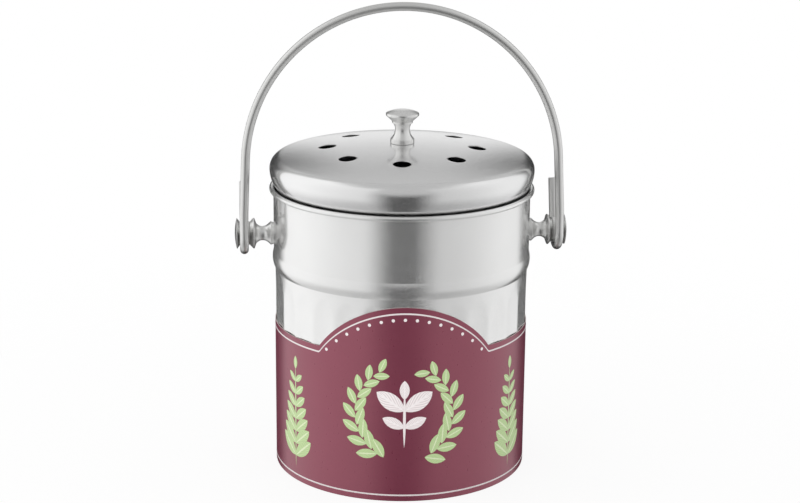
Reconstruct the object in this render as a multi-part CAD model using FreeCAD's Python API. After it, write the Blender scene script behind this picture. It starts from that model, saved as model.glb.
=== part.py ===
import FreeCAD, Part
import math
import os

from FreeCAD import Vector

# A two litre kitchen compost bin: a steel pail with a vented, filtered lid and a swinging bail.
# Millimetres. The floor is z = 0, the pail's axis is Z, the handle pivots about X and the front is -Y.
# An azimuth is in degrees from the front, and grows towards +X.

# Fits
RUNNING_CLEARANCE = 0.1
SIDE_CLEARANCE = 0.3
CARD_CLEARANCE = 0.05
HOLE_CLEARANCE = 0.1

# Pail wall
WALL_SHEET = 0.5
BODY_RADIUS = 67.0
BODY_HEIGHT = 150.0
RIM_CURL = 1.3
RIM_CURL_TAIL = 0.5
FOOT_HEM = 2.6
FOOT_BEND = 1.0
BEAD_DROP = 38.7
BEAD_WIDTH = 8.6
BEAD_RISE = 1.6
BEAD_CROWN_BEND = 10.0
BEAD_FOOT_BEND = 0.7
FLUTED_STEP = 0.8

# Flutes
FLUTE_COUNT = 30
FLUTE_DEPTH = 0.45
FLUTE_LAND = 0.7
FLUTE_TOP_GAP = 3.7
FLUTE_FOOT_GAP = 8.0
FLUTE_AZIMUTH = -5.2
FLUTE_BAND_MARGIN = 0.4

# Base
BASE_SHEET = 0.6
BASE_RISE = 2.6
BASE_BEND = 0.8

# Card sleeve
CARD = 0.35
SLEEVE_FOOT = 0.1
SLEEVE_TAB_GAP = 3.8
SLEEVE_TAB_RISE = 24.8
SLEEVE_TAB_HALF_WIDTH = 42.9
SLEEVE_AZIMUTH = -3.2
SLEEVE_LAP = 14.0

# Lugs: what the handle hangs on, each turned about the X axis
PIVOT_DROP = 25.3
SPOOL_LENGTH = 12.85
SPOOL_FOOT_RADIUS = 5.65
SPOOL_COLLAR_RADIUS = 6.15
SPOOL_COLLAR_WIDTH = 1.5
SPOOL_WAIST_CORNER = 2.2
SPOOL_WAIST_REACH = 5.9
SPOOL_WAIST_BEND = 4.2
SPOOL_ROOT_RADIUS = 5.2
SPOOL_ROOT_REACH = 9.1
SPOOL_FLANGE_RADIUS = 8.0
SPOOL_FLANGE_REACH = 10.1
SPOOL_FLANGE_LAND = 0.5
SPOOL_END_RADIUS = 5.7
JOURNAL_RADIUS = 6.3
SHANK_RADIUS = 2.5
CAP_RADIUS = 8.0
CAP_NECK_RADIUS = 6.5
CAP_RIM_LAND = 0.2
CAP_HEIGHT = 2.35
CAP_DOME_BEND = 32.0
LUG_WASHER_RADIUS = 6.5
LUG_WASHER_THICKNESS = 2.0
CAP_NUT_FLATS = 8.0
CAP_NUT_HEX_HEIGHT = 3.2
CAP_NUT_HEIGHT = 7.0
CAP_NUT_THREAD = 5.0

# Handle
ROD_RADIUS = 2.25
HANDLE_RISE = 117.9
LEG_SPLAY = 1.1
LEG_BEND_RISE = 11.0
LEG_BEND = 40.0
TAIL_RISE = 25.0
TAIL_LEAN = 14.0

# Lid
LID_SHEET = 0.6
LID_INSET = 0.2
LID_RISE = 22.1
LID_DOME_RISE = 6.3
LID_SHOULDER_BEND = 6.6
LID_TUCK_BEND = 16.0
LID_TUCK_LEAD = 0.7
COLLAR_GAP = 3.05
COLLAR_DEPTH = 5.0
COLLAR_BEND = 0.6
LID_AZIMUTH = -5.2
VENT_COUNT = 8
VENT_RING_RADIUS = 39.0
VENT_RADIUS = 4.6
PLUG_LAP = 2.5
PLUG_DEPTH = 13.4
PLUG_FLANGE = 1.6
PLUG_BEND = 0.4
SEAL_GAP = 0.3
SEAL_BODY = 1.7
SEAL_FIN_COUNT = 3
SEAL_FIN_ROOT = 1.6

# Knob and its stud
KNOB_BASE_RADIUS = 6.2
KNOB_BASE_HEIGHT = 2.4
KNOB_FLARE_RADIUS = 5.9
KNOB_EDGE_BEND = 0.3
KNOB_NECK_CORNER = 2.4
KNOB_NECK_HEIGHT = 7.1
KNOB_NECK_BEND = 5.5
KNOB_RING_RADIUS = 5.35
KNOB_RING_HEIGHT = 10.6
KNOB_RING_WIDTH = 0.7
KNOB_THROAT_RADIUS = 5.0
KNOB_HEAD_RADIUS = 8.6
KNOB_HEAD_HEIGHT = 14.6
KNOB_HEAD_EDGE = 1.2
KNOB_HEAD_BEND = 0.55
KNOB_HEIGHT = 17.6
KNOB_CROWN_BEND = 16.0
STUD_RADIUS = 2.5
STUD_ENGAGEMENT = 8.0
STUD_WASHER_RADIUS = 7.0
STUD_WASHER_THICKNESS = 1.0
STUD_NUT_FLATS = 8.0
STUD_NUT_HEIGHT = 4.0

# Filter
FILTER_EDGE_GAP = 5.5
FILTER_HEADROOM = 1.8
FILTER_THICKNESS = 8.0
FILTER_HOLE_GAP = 0.9
PAN_SHEET = 0.6
PAN_SIDE_GAP = 1.0
PAN_DEPTH = 6.0
PAN_HOLE_RADIUS = 2.5
PAN_FIRST_RING = 15.0
PAN_EDGE_LAND = 7.25
PAN_RING_COUNT = 4
PAN_HOLES_PER_RING_STEP = 6
THUMB_NUT_RADIUS = 9.0
THUMB_NUT_HEIGHT = 6.0
THUMB_NUT_CHAMFER = 0.8
THUMB_NUT_SCALLOPS = 12
THUMB_NUT_SCALLOP_RADIUS = 1.2

# Places that follow from the sizes above
ORIGIN = Vector(0, 0, 0)
UP = Vector(0, 0, 1)
RIGHT = Vector(1, 0, 0)
MOUTH_RADIUS = BODY_RADIUS - WALL_SHEET
RIM_RADIUS = MOUTH_RADIUS + 2 * RIM_CURL
BEAD_LOW = BODY_HEIGHT - BEAD_DROP - BEAD_WIDTH / 2
BEAD_HIGH = BODY_HEIGHT - BEAD_DROP + BEAD_WIDTH / 2
RIDGE_RADIUS = BODY_RADIUS - FLUTED_STEP
FLUTE_CROWN = BEAD_LOW - FLUTE_TOP_GAP
BAND_LOW = FLUTE_FOOT_GAP - FLUTE_BAND_MARGIN
BAND_HIGH = FLUTE_CROWN + FLUTE_BAND_MARGIN
SLEEVE_INNER = RIDGE_RADIUS + CARD_CLEARANCE
SLEEVE_CROWN = BEAD_LOW - SLEEVE_TAB_GAP
SLEEVE_EDGE = SLEEVE_CROWN - SLEEVE_TAB_RISE

PIVOT = Vector(0, 0, BODY_HEIGHT - PIVOT_DROP)
SPOOL_END = BODY_RADIUS + SPOOL_LENGTH
HOOK_REACH = SPOOL_END + SIDE_CLEARANCE + ROD_RADIUS
CAP_FACE = HOOK_REACH + ROD_RADIUS + SIDE_CLEARANCE
HOOK_BEND = JOURNAL_RADIUS + RUNNING_CLEARANCE + ROD_RADIUS
LUG_NUT_FACE = MOUTH_RADIUS - LUG_WASHER_THICKNESS

LID_RADIUS = RIM_RADIUS - LID_INSET
LID_SHOULDER_REACH = LID_RADIUS - LID_SHOULDER_BEND
LID_DOME_BEND = LID_SHOULDER_BEND + (LID_SHOULDER_REACH**2 + LID_DOME_RISE**2) / (2 * LID_DOME_RISE)
LID_CROWN = BODY_HEIGHT + LID_RISE
COLLAR_RADIUS = MOUTH_RADIUS - COLLAR_GAP
COLLAR_LOW = BODY_HEIGHT - COLLAR_DEPTH
PLUG_RADIUS = COLLAR_RADIUS - LID_SHEET
PLUG_FLANGE_TOP = BODY_HEIGHT - PLUG_DEPTH

FILTER_RADIUS = PLUG_RADIUS - LID_SHEET - FILTER_EDGE_GAP


def dome_height(radius):
    """Height of the lid's outer face at a distance from the axis, within the dome."""
    return LID_CROWN - LID_DOME_BEND + math.sqrt(LID_DOME_BEND**2 - radius**2)


STUD_WASHER_TOP = dome_height(STUD_WASHER_RADIUS) - LID_SHEET
STUD_NUT_TOP = STUD_WASHER_TOP - STUD_WASHER_THICKNESS
FILTER_TOP = dome_height(FILTER_RADIUS) - LID_SHEET - FILTER_HEADROOM
PAN_FLOOR = FILTER_TOP - FILTER_THICKNESS
THUMB_NUT_TOP = PAN_FLOOR - PAN_SHEET
STUD_END = THUMB_NUT_TOP - THUMB_NUT_HEIGHT


def facing(azimuth):
    """Unit vector that points out from the axis at an azimuth."""
    angle = math.radians(azimuth)
    return Vector(math.sin(angle), -math.cos(angle), 0)


def unit(vector):
    """The same direction with length one."""
    return vector / vector.Length


def bent_wire(corners):
    """Open wire through (point, bend) corners, each rounded by an arc of its bend radius.

    Where two arcs are too long for the run between them, both shrink to fit it.
    """
    points = [point for point, bend in corners]
    runs = [after - before for before, after in zip(points, points[1:])]
    turns = [first.getAngle(second) for first, second in zip(runs, runs[1:])]
    bends = [bend for point, bend in corners[1:-1]]
    reaches = [0.0] + [bend * math.tan(turn / 2) for bend, turn in zip(bends, turns)] + [0.0]
    sums = [before + after for before, after in zip(reaches, reaches[1:])]
    shares = [min(1.0, run.Length / total) if total else 1.0 for run, total in zip(runs, sums)]
    edges = []
    here = points[0]
    for index, turn in enumerate(turns):
        reach = reaches[index + 1] * min(shares[index], shares[index + 1])
        into, out_of = unit(runs[index]), unit(runs[index + 1])
        corner = points[index + 1]
        start, end = corner - into * reach, corner + out_of * reach
        if (start - here).Length > 1e-6:
            edges.append(Part.makeLine(here, start))
        if reach > 1e-6:
            inward = unit(out_of - into)
            middle = corner + inward * reach * (1 / math.sin(turn / 2) - 1 / math.tan(turn / 2))
            edges.append(Part.Arc(start, middle, end).toShape())
        here = end
    if (points[-1] - here).Length > 1e-6:
        edges.append(Part.makeLine(here, points[-1]))
    return Part.Wire(edges)


def section(corners):
    """(radius, height, bend) corners as points of the XZ plane."""
    return [(Vector(radius, 0, height), bend) for radius, height, bend in corners]


def shifted(corners, distance):
    """The (radius, height, bend) corners of a parallel path, to the left of the way along it."""
    points = [Vector(radius, height, 0) for radius, height, bend in corners]
    ways = [unit(after - before) for before, after in zip(points, points[1:])]
    sides = [Vector(-way.y, way.x, 0) for way in ways]
    sides = [sides[0]] + sides + [sides[-1]]
    moved = []
    for point, corner, before, after in zip(points, corners, sides, sides[1:]):
        to = point + (before + after) * (distance / (1 + before.dot(after)))
        turn = math.copysign(1, before.cross(after).z)
        bend = corner[2] - turn * distance if corner[2] else 0.0
        moved.append((to.x, to.y, bend))
    return moved


def spun(wire):
    """Solid of revolution about Z from a closed wire in the XZ plane."""
    return Part.Face(wire).revolve(ORIGIN, UP, 360)


def closed(*wires):
    """One closed wire from open ones laid end to end, with straight lines between their ends."""
    edges = []
    ends = [(wire.OrderedVertexes[0].Point, wire.OrderedVertexes[-1].Point) for wire in wires]
    for wire, here, there in zip(wires, ends, ends[1:] + ends[:1]):
        edges += wire.OrderedEdges
        if (there[0] - here[1]).Length > 1e-6:
            edges.append(Part.makeLine(here[1], there[0]))
    return Part.Wire(edges)


def bent_sheet(corners, thickness):
    """Ring of sheet metal: the path is one face, and the other lies to its left by the thickness."""
    face = bent_wire(section(corners))
    back = bent_wire(section(shifted(corners, thickness)[::-1]))
    return spun(closed(face, back))


def turned(corners):
    """Solid turned on a lathe: (radius, height, bend) corners that start and end on the axis Z."""
    return spun(closed(bent_wire(section(corners))))


def disc(radius, low, high):
    """Upright cylinder on the axis."""
    return Part.makeCylinder(radius, high - low, Vector(0, 0, low))


def tube(outer, inner, low, high):
    """Upright ring on the axis."""
    return disc(outer, low, high).cut(disc(inner, low, high))


def hexagon(flats, low, high):
    """Upright hexagonal prism on the axis."""
    radius = flats / math.sqrt(3)
    angles = [math.radians(60 * index) for index in range(7)]
    points = [Vector(radius * math.cos(angle), radius * math.sin(angle), low) for angle in angles]
    return Part.Face(Part.makePolygon(points)).extrude(UP * (high - low))


def on_pivot(shape):
    """A shape turned about Z, laid on the right-hand pivot axis with its +Z along +X."""
    shape = shape.copy()
    shape.rotate(ORIGIN, Vector(0, 1, 0), 90)
    shape.translate(PIVOT)
    return shape


def to_left(shape):
    """The same piece on the left-hand side of the pail."""
    shape = shape.copy()
    shape.rotate(ORIGIN, UP, 180)
    return shape


def flute_cutter(azimuth, growth):
    """Upright round-ended bar that sinks one flute, grown by a distance on all sides."""
    valley = RIDGE_RADIUS - FLUTE_DEPTH
    half_angle = math.pi / FLUTE_COUNT - FLUTE_LAND / 2 / RIDGE_RADIUS
    chord = RIDGE_RADIUS**2 + valley**2 - 2 * RIDGE_RADIUS * valley * math.cos(half_angle)
    bar = chord / (2 * (RIDGE_RADIUS * math.cos(half_angle) - valley))
    arch = math.sqrt(bar**2 - (bar - FLUTE_DEPTH) ** 2)
    foot = facing(azimuth) * (valley + bar) + UP * (FLUTE_FOOT_GAP + arch)
    head = facing(azimuth) * (valley + bar) + UP * (FLUTE_CROWN - arch)
    radius = bar + growth
    straight = Part.makeCylinder(radius, (head - foot).Length, foot, UP)
    return straight.fuse([Part.makeSphere(radius, foot), Part.makeSphere(radius, head)]).removeSplitter()


def fluted_band():
    """The stretch of the wall that carries the flutes, pressed inwards at one sheet thickness."""
    outside = disc(RIDGE_RADIUS, BAND_LOW, BAND_HIGH)
    inside = disc(RIDGE_RADIUS - WALL_SHEET, BAND_LOW, BAND_HIGH)
    for index in range(FLUTE_COUNT):
        azimuth = FLUTE_AZIMUTH + 360 * index / FLUTE_COUNT
        outside = outside.cut(flute_cutter(azimuth, 0))
        inside = inside.cut(flute_cutter(azimuth, WALL_SHEET))
    return outside.cut(inside)


def make_bin_wall():
    """Pail wall from foot hem to rolled rim, with a bolt hole on each side."""
    inner_ridge = RIDGE_RADIUS - WALL_SHEET
    foot = [
        (RIDGE_RADIUS - FOOT_HEM, WALL_SHEET, 0),
        (inner_ridge, WALL_SHEET, FOOT_BEND),
        (inner_ridge, BAND_LOW, 0),
    ]
    head = [
        (inner_ridge, BAND_HIGH, 0),
        (inner_ridge, BEAD_LOW, BEAD_FOOT_BEND),
        (MOUTH_RADIUS + BEAD_RISE, BODY_HEIGHT - BEAD_DROP, BEAD_CROWN_BEND),
        (MOUTH_RADIUS, BEAD_HIGH, BEAD_FOOT_BEND),
        (MOUTH_RADIUS, BODY_HEIGHT, RIM_CURL),
        (RIM_RADIUS, BODY_HEIGHT, RIM_CURL),
        (RIM_RADIUS, BODY_HEIGHT - 2 * RIM_CURL, RIM_CURL),
        (RIM_RADIUS - RIM_CURL - RIM_CURL_TAIL, BODY_HEIGHT - 2 * RIM_CURL, 0),
    ]
    wall = fluted_band().fuse([bent_sheet(foot, -WALL_SHEET), bent_sheet(head, -WALL_SHEET)])
    hole = Part.makeCylinder(SHANK_RADIUS + HOLE_CLEARANCE, 2 * RIM_RADIUS, PIVOT - RIGHT * RIM_RADIUS, RIGHT)
    return wall.removeSplitter().cut(hole)


def make_bin_base():
    """Bottom of the pail: an inverted pan whose skirt turns in to lie on the wall's foot hem."""
    skirt = RIDGE_RADIUS - WALL_SHEET
    top = WALL_SHEET + BASE_RISE
    corners = [
        (0, top, 0),
        (skirt, top, BASE_BEND + BASE_SHEET),
        (skirt, WALL_SHEET, FOOT_BEND),
        (RIDGE_RADIUS - FOOT_HEM, WALL_SHEET, 0),
    ]
    return bent_sheet(corners, -BASE_SHEET)


def make_card_sleeve():
    """Card sleeve round the flutes, with an arched tab in front and a glued lap behind."""
    outer = SLEEVE_INNER + CARD
    arch = (SLEEVE_TAB_HALF_WIDTH**2 + SLEEVE_TAB_RISE**2) / (2 * SLEEVE_TAB_RISE)
    punch = Part.makeCylinder(arch, 2 * outer, UP * (SLEEVE_CROWN - arch), facing(0))
    tab = tube(outer, SLEEVE_INNER, SLEEVE_EDGE, SLEEVE_CROWN).common(punch)
    strip = Part.makeBox(SLEEVE_LAP, 2 * outer, BODY_HEIGHT, RIGHT * (-SLEEVE_LAP / 2))
    lap = tube(outer + CARD, outer, SLEEVE_FOOT, SLEEVE_EDGE).common(strip)
    sleeve = tube(outer, SLEEVE_INNER, SLEEVE_FOOT, SLEEVE_EDGE).fuse([tab, lap]).removeSplitter()
    sleeve.rotate(ORIGIN, UP, SLEEVE_AZIMUTH)
    return sleeve


def make_lug_spool():
    """Waisted lug, seated on the wall by a foot hollowed to its curve."""
    start = MOUTH_RADIUS
    corners = [
        (0, start, 0),
        (SPOOL_FOOT_RADIUS, start, 0),
        (SPOOL_FOOT_RADIUS, BODY_RADIUS, 0),
        (SPOOL_COLLAR_RADIUS, BODY_RADIUS + SPOOL_COLLAR_WIDTH, 0),
        (SPOOL_WAIST_CORNER, BODY_RADIUS + SPOOL_WAIST_REACH, SPOOL_WAIST_BEND),
        (SPOOL_ROOT_RADIUS, BODY_RADIUS + SPOOL_ROOT_REACH, 0),
        (SPOOL_FLANGE_RADIUS, BODY_RADIUS + SPOOL_FLANGE_REACH, 0),
        (SPOOL_FLANGE_RADIUS, BODY_RADIUS + SPOOL_FLANGE_REACH + SPOOL_FLANGE_LAND, 0),
        (SPOOL_END_RADIUS, SPOOL_END, 0),
        (0, SPOOL_END, 0),
    ]
    spool = on_pivot(turned(corners).cut(disc(SHANK_RADIUS, start, SPOOL_END)))
    return spool.cut(disc(BODY_RADIUS, 0, BODY_HEIGHT))


def make_pivot_bolt():
    """Capped bolt: domed cap, journal for the handle's hook, shank through spool, wall and nut."""
    top = CAP_FACE + CAP_HEIGHT
    rim = top - CAP_DOME_BEND + math.sqrt(CAP_DOME_BEND**2 - CAP_RADIUS**2)
    slope = math.asin(CAP_RADIUS / CAP_DOME_BEND)
    corners = [
        (0, LUG_NUT_FACE - CAP_NUT_THREAD, 0),
        (SHANK_RADIUS, LUG_NUT_FACE - CAP_NUT_THREAD, 0),
        (SHANK_RADIUS, SPOOL_END, 0),
        (JOURNAL_RADIUS, SPOOL_END, 0),
        (JOURNAL_RADIUS, CAP_FACE, 0),
        (CAP_NECK_RADIUS, CAP_FACE, 0),
        (CAP_RADIUS, rim - CAP_RIM_LAND, 0),
        (CAP_RADIUS, rim, 0),
        (CAP_DOME_BEND * math.tan(slope / 2), top, CAP_DOME_BEND),
        (0, top, 0),
    ]
    return on_pivot(turned(corners))


def make_lug_washer():
    """Sealing washer between the wall's inside and the nut, moulded to the wall's curve."""
    ring = on_pivot(tube(LUG_WASHER_RADIUS, SHANK_RADIUS, LUG_NUT_FACE, BODY_RADIUS))
    return ring.common(disc(MOUTH_RADIUS, 0, BODY_HEIGHT))


def make_cap_nut():
    """Domed nut on the bolt's inner end, its blind thread towards the wall."""
    base = LUG_NUT_FACE - CAP_NUT_HEX_HEIGHT
    dome_rise = CAP_NUT_HEIGHT - CAP_NUT_HEX_HEIGHT
    radius = CAP_NUT_FLATS / 2
    dome = turned(
        [
            (0, base, 0),
            (radius, base, 0),
            (radius, base - dome_rise, min(radius, dome_rise)),
            (0, base - dome_rise, 0),
        ]
    )
    nut = hexagon(CAP_NUT_FLATS, base, LUG_NUT_FACE).fuse(dome)
    return on_pivot(nut.cut(disc(SHANK_RADIUS, LUG_NUT_FACE - CAP_NUT_THREAD, LUG_NUT_FACE)))


def make_handle():
    """Bail bent from one rod: a J hook under each journal, splayed legs and a round arch.

    The corners are laid out with upright legs, hooks in front of the pivot, and the whole bail
    then leans back about the pivot until the arch's top stands right above it.
    """
    arch_radius = HOOK_REACH - LEG_SPLAY
    to_arch = HANDLE_RISE - arch_radius - LEG_BEND_RISE
    splay = math.acos(arch_radius / math.hypot(HOOK_REACH, to_arch)) - math.atan2(to_arch, HOOK_REACH)
    shoulder = arch_radius * math.tan((math.pi / 2 - splay) / 2)
    lean = math.radians(TAIL_LEAN)
    hook_back = HOOK_BEND * math.tan((math.pi / 2 - lean) / 2)
    tail = hook_back + (TAIL_RISE + HOOK_BEND) * math.tan(lean)
    half = [
        (Vector(HOOK_REACH, tail, TAIL_RISE), 0),
        (Vector(HOOK_REACH, hook_back, -HOOK_BEND), HOOK_BEND),
        (Vector(HOOK_REACH, -HOOK_BEND, -HOOK_BEND), HOOK_BEND),
        (Vector(HOOK_REACH, -HOOK_BEND, LEG_BEND_RISE), LEG_BEND),
        (Vector(shoulder, -HOOK_BEND, HANDLE_RISE), arch_radius),
    ]
    other = [(Vector(-point.x, point.y, point.z), bend) for point, bend in reversed(half)]
    path = bent_wire(half + other)
    start = half[0][0]
    section_circle = Part.Wire(Part.makeCircle(ROD_RADIUS, start, half[1][0] - start))
    rod = path.makePipeShell([section_circle], True, False)
    rod.rotate(ORIGIN, RIGHT, -math.degrees(math.atan2(HOOK_BEND, HANDLE_RISE)))
    rod.translate(PIVOT)
    return rod


def make_lid_dome():
    """Spun lid: dome, round shoulder, underside tucked in to a collar, vents and a stud hole."""
    slope = math.asin(LID_SHOULDER_REACH / (LID_DOME_BEND - LID_SHOULDER_BEND))
    widest = LID_CROWN - LID_DOME_RISE - LID_SHOULDER_BEND
    tuck_end = COLLAR_RADIUS + LID_TUCK_LEAD
    tuck = math.acos(1 - (LID_RADIUS - tuck_end) / LID_TUCK_BEND)
    collar_top = widest - LID_TUCK_BEND * math.sin(tuck) - LID_TUCK_LEAD / math.tan(tuck)
    corners = [
        (0, LID_CROWN, 0),
        (LID_DOME_BEND * math.tan(slope / 2), LID_CROWN, LID_DOME_BEND),
        (LID_RADIUS, widest + LID_SHOULDER_BEND * math.tan((math.pi / 2 - slope) / 2), LID_SHOULDER_BEND),
        (LID_RADIUS, widest - LID_TUCK_BEND * math.tan(tuck / 2), LID_TUCK_BEND),
        (COLLAR_RADIUS, collar_top, COLLAR_BEND),
        (COLLAR_RADIUS, COLLAR_LOW, 0),
    ]
    holes = [disc(STUD_RADIUS + HOLE_CLEARANCE, BODY_HEIGHT, LID_CROWN)]
    for index in range(VENT_COUNT):
        centre = facing(LID_AZIMUTH + 360 * index / VENT_COUNT) * VENT_RING_RADIUS
        holes.append(Part.makeCylinder(VENT_RADIUS, LID_RISE, centre + UP * BODY_HEIGHT))
    return bent_sheet(corners, -LID_SHEET).cut(holes)


def make_lid_plug_ring():
    """Ring lapped inside the lid's collar, flanged outwards below to hold the seal."""
    corners = [
        (PLUG_RADIUS, COLLAR_LOW + PLUG_LAP, 0),
        (PLUG_RADIUS, PLUG_FLANGE_TOP, PLUG_BEND),
        (PLUG_RADIUS + PLUG_FLANGE, PLUG_FLANGE_TOP, 0),
    ]
    return bent_sheet(corners, -LID_SHEET)


def make_lid_seal():
    """Silicone ring between collar and flange, with fins that lean up towards the mouth's wall."""
    low = PLUG_FLANGE_TOP + PLUG_BEND
    height = COLLAR_LOW - low
    body = PLUG_RADIUS + SEAL_BODY
    tip = MOUTH_RADIUS - SEAL_GAP
    pitch = height / SEAL_FIN_COUNT
    corners = [(PLUG_RADIUS, low), (body, low)]
    for index in range(SEAL_FIN_COUNT):
        top = low + pitch * (index + 1)
        corners += [(body, top - SEAL_FIN_ROOT), (tip, top), (body, top)]
    corners.append((PLUG_RADIUS, COLLAR_LOW))
    points = [Vector(radius, 0, level) for radius, level in corners]
    return spun(Part.makePolygon(points + points[:1]))


def make_knob():
    """Turned knob: round base, waisted neck, ring and a domed head, drilled for its stud."""
    crown_slope = math.asin((KNOB_HEAD_RADIUS - KNOB_HEAD_BEND) / KNOB_CROWN_BEND)
    crown_reach = KNOB_CROWN_BEND * math.tan(crown_slope / 2)
    corners = [
        (0, 0, 0),
        (KNOB_BASE_RADIUS, 0, KNOB_EDGE_BEND),
        (KNOB_BASE_RADIUS, KNOB_BASE_HEIGHT, KNOB_EDGE_BEND),
        (KNOB_FLARE_RADIUS, KNOB_BASE_HEIGHT, 0),
        (KNOB_NECK_CORNER, KNOB_NECK_HEIGHT, KNOB_NECK_BEND),
        (KNOB_THROAT_RADIUS, KNOB_RING_HEIGHT, 0),
        (KNOB_RING_RADIUS, KNOB_RING_HEIGHT, 0),
        (KNOB_RING_RADIUS, KNOB_RING_HEIGHT + KNOB_RING_WIDTH, 0),
        (KNOB_THROAT_RADIUS, KNOB_RING_HEIGHT + KNOB_RING_WIDTH, 0),
        (KNOB_HEAD_RADIUS, KNOB_HEAD_HEIGHT, KNOB_HEAD_BEND),
        (KNOB_HEAD_RADIUS, KNOB_HEAD_HEIGHT + KNOB_HEAD_EDGE, KNOB_HEAD_BEND),
        (crown_reach, KNOB_HEIGHT, KNOB_CROWN_BEND),
        (0, KNOB_HEIGHT, 0),
    ]
    knob = turned(corners).cut(disc(STUD_RADIUS, 0, STUD_ENGAGEMENT))
    knob.translate(UP * LID_CROWN)
    return knob


def make_knob_stud():
    """Threaded stud from inside the knob down to the thumb nut."""
    return disc(STUD_RADIUS, STUD_END, LID_CROWN + STUD_ENGAGEMENT)


def make_stud_washer():
    """Washer under the lid's dome."""
    return tube(STUD_WASHER_RADIUS, STUD_RADIUS, STUD_NUT_TOP, STUD_WASHER_TOP)


def make_stud_nut():
    """Hex nut that clamps the knob to the lid."""
    low = STUD_NUT_TOP - STUD_NUT_HEIGHT
    return hexagon(STUD_NUT_FLATS, low, STUD_NUT_TOP).cut(disc(STUD_RADIUS, low, STUD_NUT_TOP))


def make_carbon_filter():
    """Foam disc that lies in the pan, with a hole that clears the stud's nut."""
    hole = STUD_NUT_FLATS / math.sqrt(3) + FILTER_HOLE_GAP
    return tube(FILTER_RADIUS, hole, PAN_FLOOR, FILTER_TOP)


def make_filter_pan():
    """Shallow perforated pan, threaded over the stud and held up by the thumb nut."""
    side = FILTER_RADIUS + PAN_SIDE_GAP
    corners = [(0, PAN_FLOOR, 0), (side, PAN_FLOOR, PAN_SIDE_GAP), (side, PAN_FLOOR + PAN_DEPTH, 0)]
    pitch = (FILTER_RADIUS - PAN_EDGE_LAND - PAN_FIRST_RING) / (PAN_RING_COUNT - 1)
    holes = [disc(STUD_RADIUS + HOLE_CLEARANCE, THUMB_NUT_TOP, PAN_FLOOR)]
    for ring in range(PAN_RING_COUNT):
        count = PAN_HOLES_PER_RING_STEP * (ring + 1)
        reach = PAN_FIRST_RING + pitch * ring
        for index in range(count):
            centre = facing(360 * index / count) * reach + UP * THUMB_NUT_TOP
            holes.append(Part.makeCylinder(PAN_HOLE_RADIUS, PAN_SHEET, centre))
    return bent_sheet(corners, -PAN_SHEET).cut(holes)


def make_thumb_nut():
    """Scalloped round nut under the pan."""
    inner_edge = THUMB_NUT_RADIUS - THUMB_NUT_CHAMFER
    corners = [
        (0, STUD_END, 0),
        (inner_edge, STUD_END, 0),
        (THUMB_NUT_RADIUS, STUD_END + THUMB_NUT_CHAMFER, 0),
        (THUMB_NUT_RADIUS, THUMB_NUT_TOP - THUMB_NUT_CHAMFER, 0),
        (inner_edge, THUMB_NUT_TOP, 0),
        (0, THUMB_NUT_TOP, 0),
    ]
    cutters = [disc(STUD_RADIUS + RUNNING_CLEARANCE, STUD_END, THUMB_NUT_TOP)]
    for index in range(THUMB_NUT_SCALLOPS):
        centre = facing(360 * index / THUMB_NUT_SCALLOPS) * THUMB_NUT_RADIUS + UP * STUD_END
        cutters.append(Part.makeCylinder(THUMB_NUT_SCALLOP_RADIUS, THUMB_NUT_HEIGHT, centre))
    return turned(corners).cut(cutters)


def make_parts():
    """Every piece of the bin by its name."""
    lugs = {
        "lug_spool": make_lug_spool(),
        "pivot_bolt": make_pivot_bolt(),
        "lug_washer": make_lug_washer(),
        "cap_nut": make_cap_nut(),
    }
    parts = {
        "bin_wall": make_bin_wall(),
        "bin_base": make_bin_base(),
        "card_sleeve": make_card_sleeve(),
        "handle": make_handle(),
        "lid_dome": make_lid_dome(),
        "lid_plug_ring": make_lid_plug_ring(),
        "lid_seal": make_lid_seal(),
        "knob": make_knob(),
        "knob_stud": make_knob_stud(),
        "stud_washer": make_stud_washer(),
        "stud_nut": make_stud_nut(),
        "carbon_filter": make_carbon_filter(),
        "filter_pan": make_filter_pan(),
        "thumb_nut": make_thumb_nut(),
    }
    for name, shape in lugs.items():
        parts["right_" + name] = shape
        parts["left_" + name] = to_left(shape)
    return parts


def main():
    """Write one STEP file per piece."""
    os.makedirs("parts", exist_ok=True)
    for name, shape in make_parts().items():
        box = shape.BoundBox
        print(
            f"{name}: solids {len(shape.Solids)}, valid {shape.isValid()}, volume {shape.Volume:.1f},"
            f" x {box.XMin:.2f} {box.XMax:.2f}, y {box.YMin:.2f} {box.YMax:.2f}, z {box.ZMin:.2f} {box.ZMax:.2f}"
        )
        shape.exportStep(f"parts/{name}.step")


main()
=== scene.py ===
"""Looks of a two litre kitchen compost bin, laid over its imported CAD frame.

The pieces hold millimetres, the finishes and the studio metres, and Blender gets metres. The floor is
z = 0, the pail's axis is Z, the handle pivots about X and the front is -Y. An azimuth is in degrees from
the front, towards +X.
"""

import logging
import math
from collections.abc import Sequence
from dataclasses import dataclass
from enum import Enum
from itertools import accumulate

import bmesh
import bpy
import numpy as np
from mathutils import Matrix


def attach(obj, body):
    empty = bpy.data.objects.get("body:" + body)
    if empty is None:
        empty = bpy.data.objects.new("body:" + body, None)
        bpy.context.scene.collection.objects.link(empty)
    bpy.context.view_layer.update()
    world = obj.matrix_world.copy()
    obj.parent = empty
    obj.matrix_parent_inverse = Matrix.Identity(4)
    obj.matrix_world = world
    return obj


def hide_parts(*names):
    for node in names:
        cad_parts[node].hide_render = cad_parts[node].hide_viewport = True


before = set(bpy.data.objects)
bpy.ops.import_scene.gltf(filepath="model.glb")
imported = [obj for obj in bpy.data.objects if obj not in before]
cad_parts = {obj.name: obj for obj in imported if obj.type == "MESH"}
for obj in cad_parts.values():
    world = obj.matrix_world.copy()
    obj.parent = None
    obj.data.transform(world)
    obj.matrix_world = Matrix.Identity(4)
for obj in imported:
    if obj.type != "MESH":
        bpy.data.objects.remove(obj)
log = logging.getLogger("compost_bin")

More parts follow.
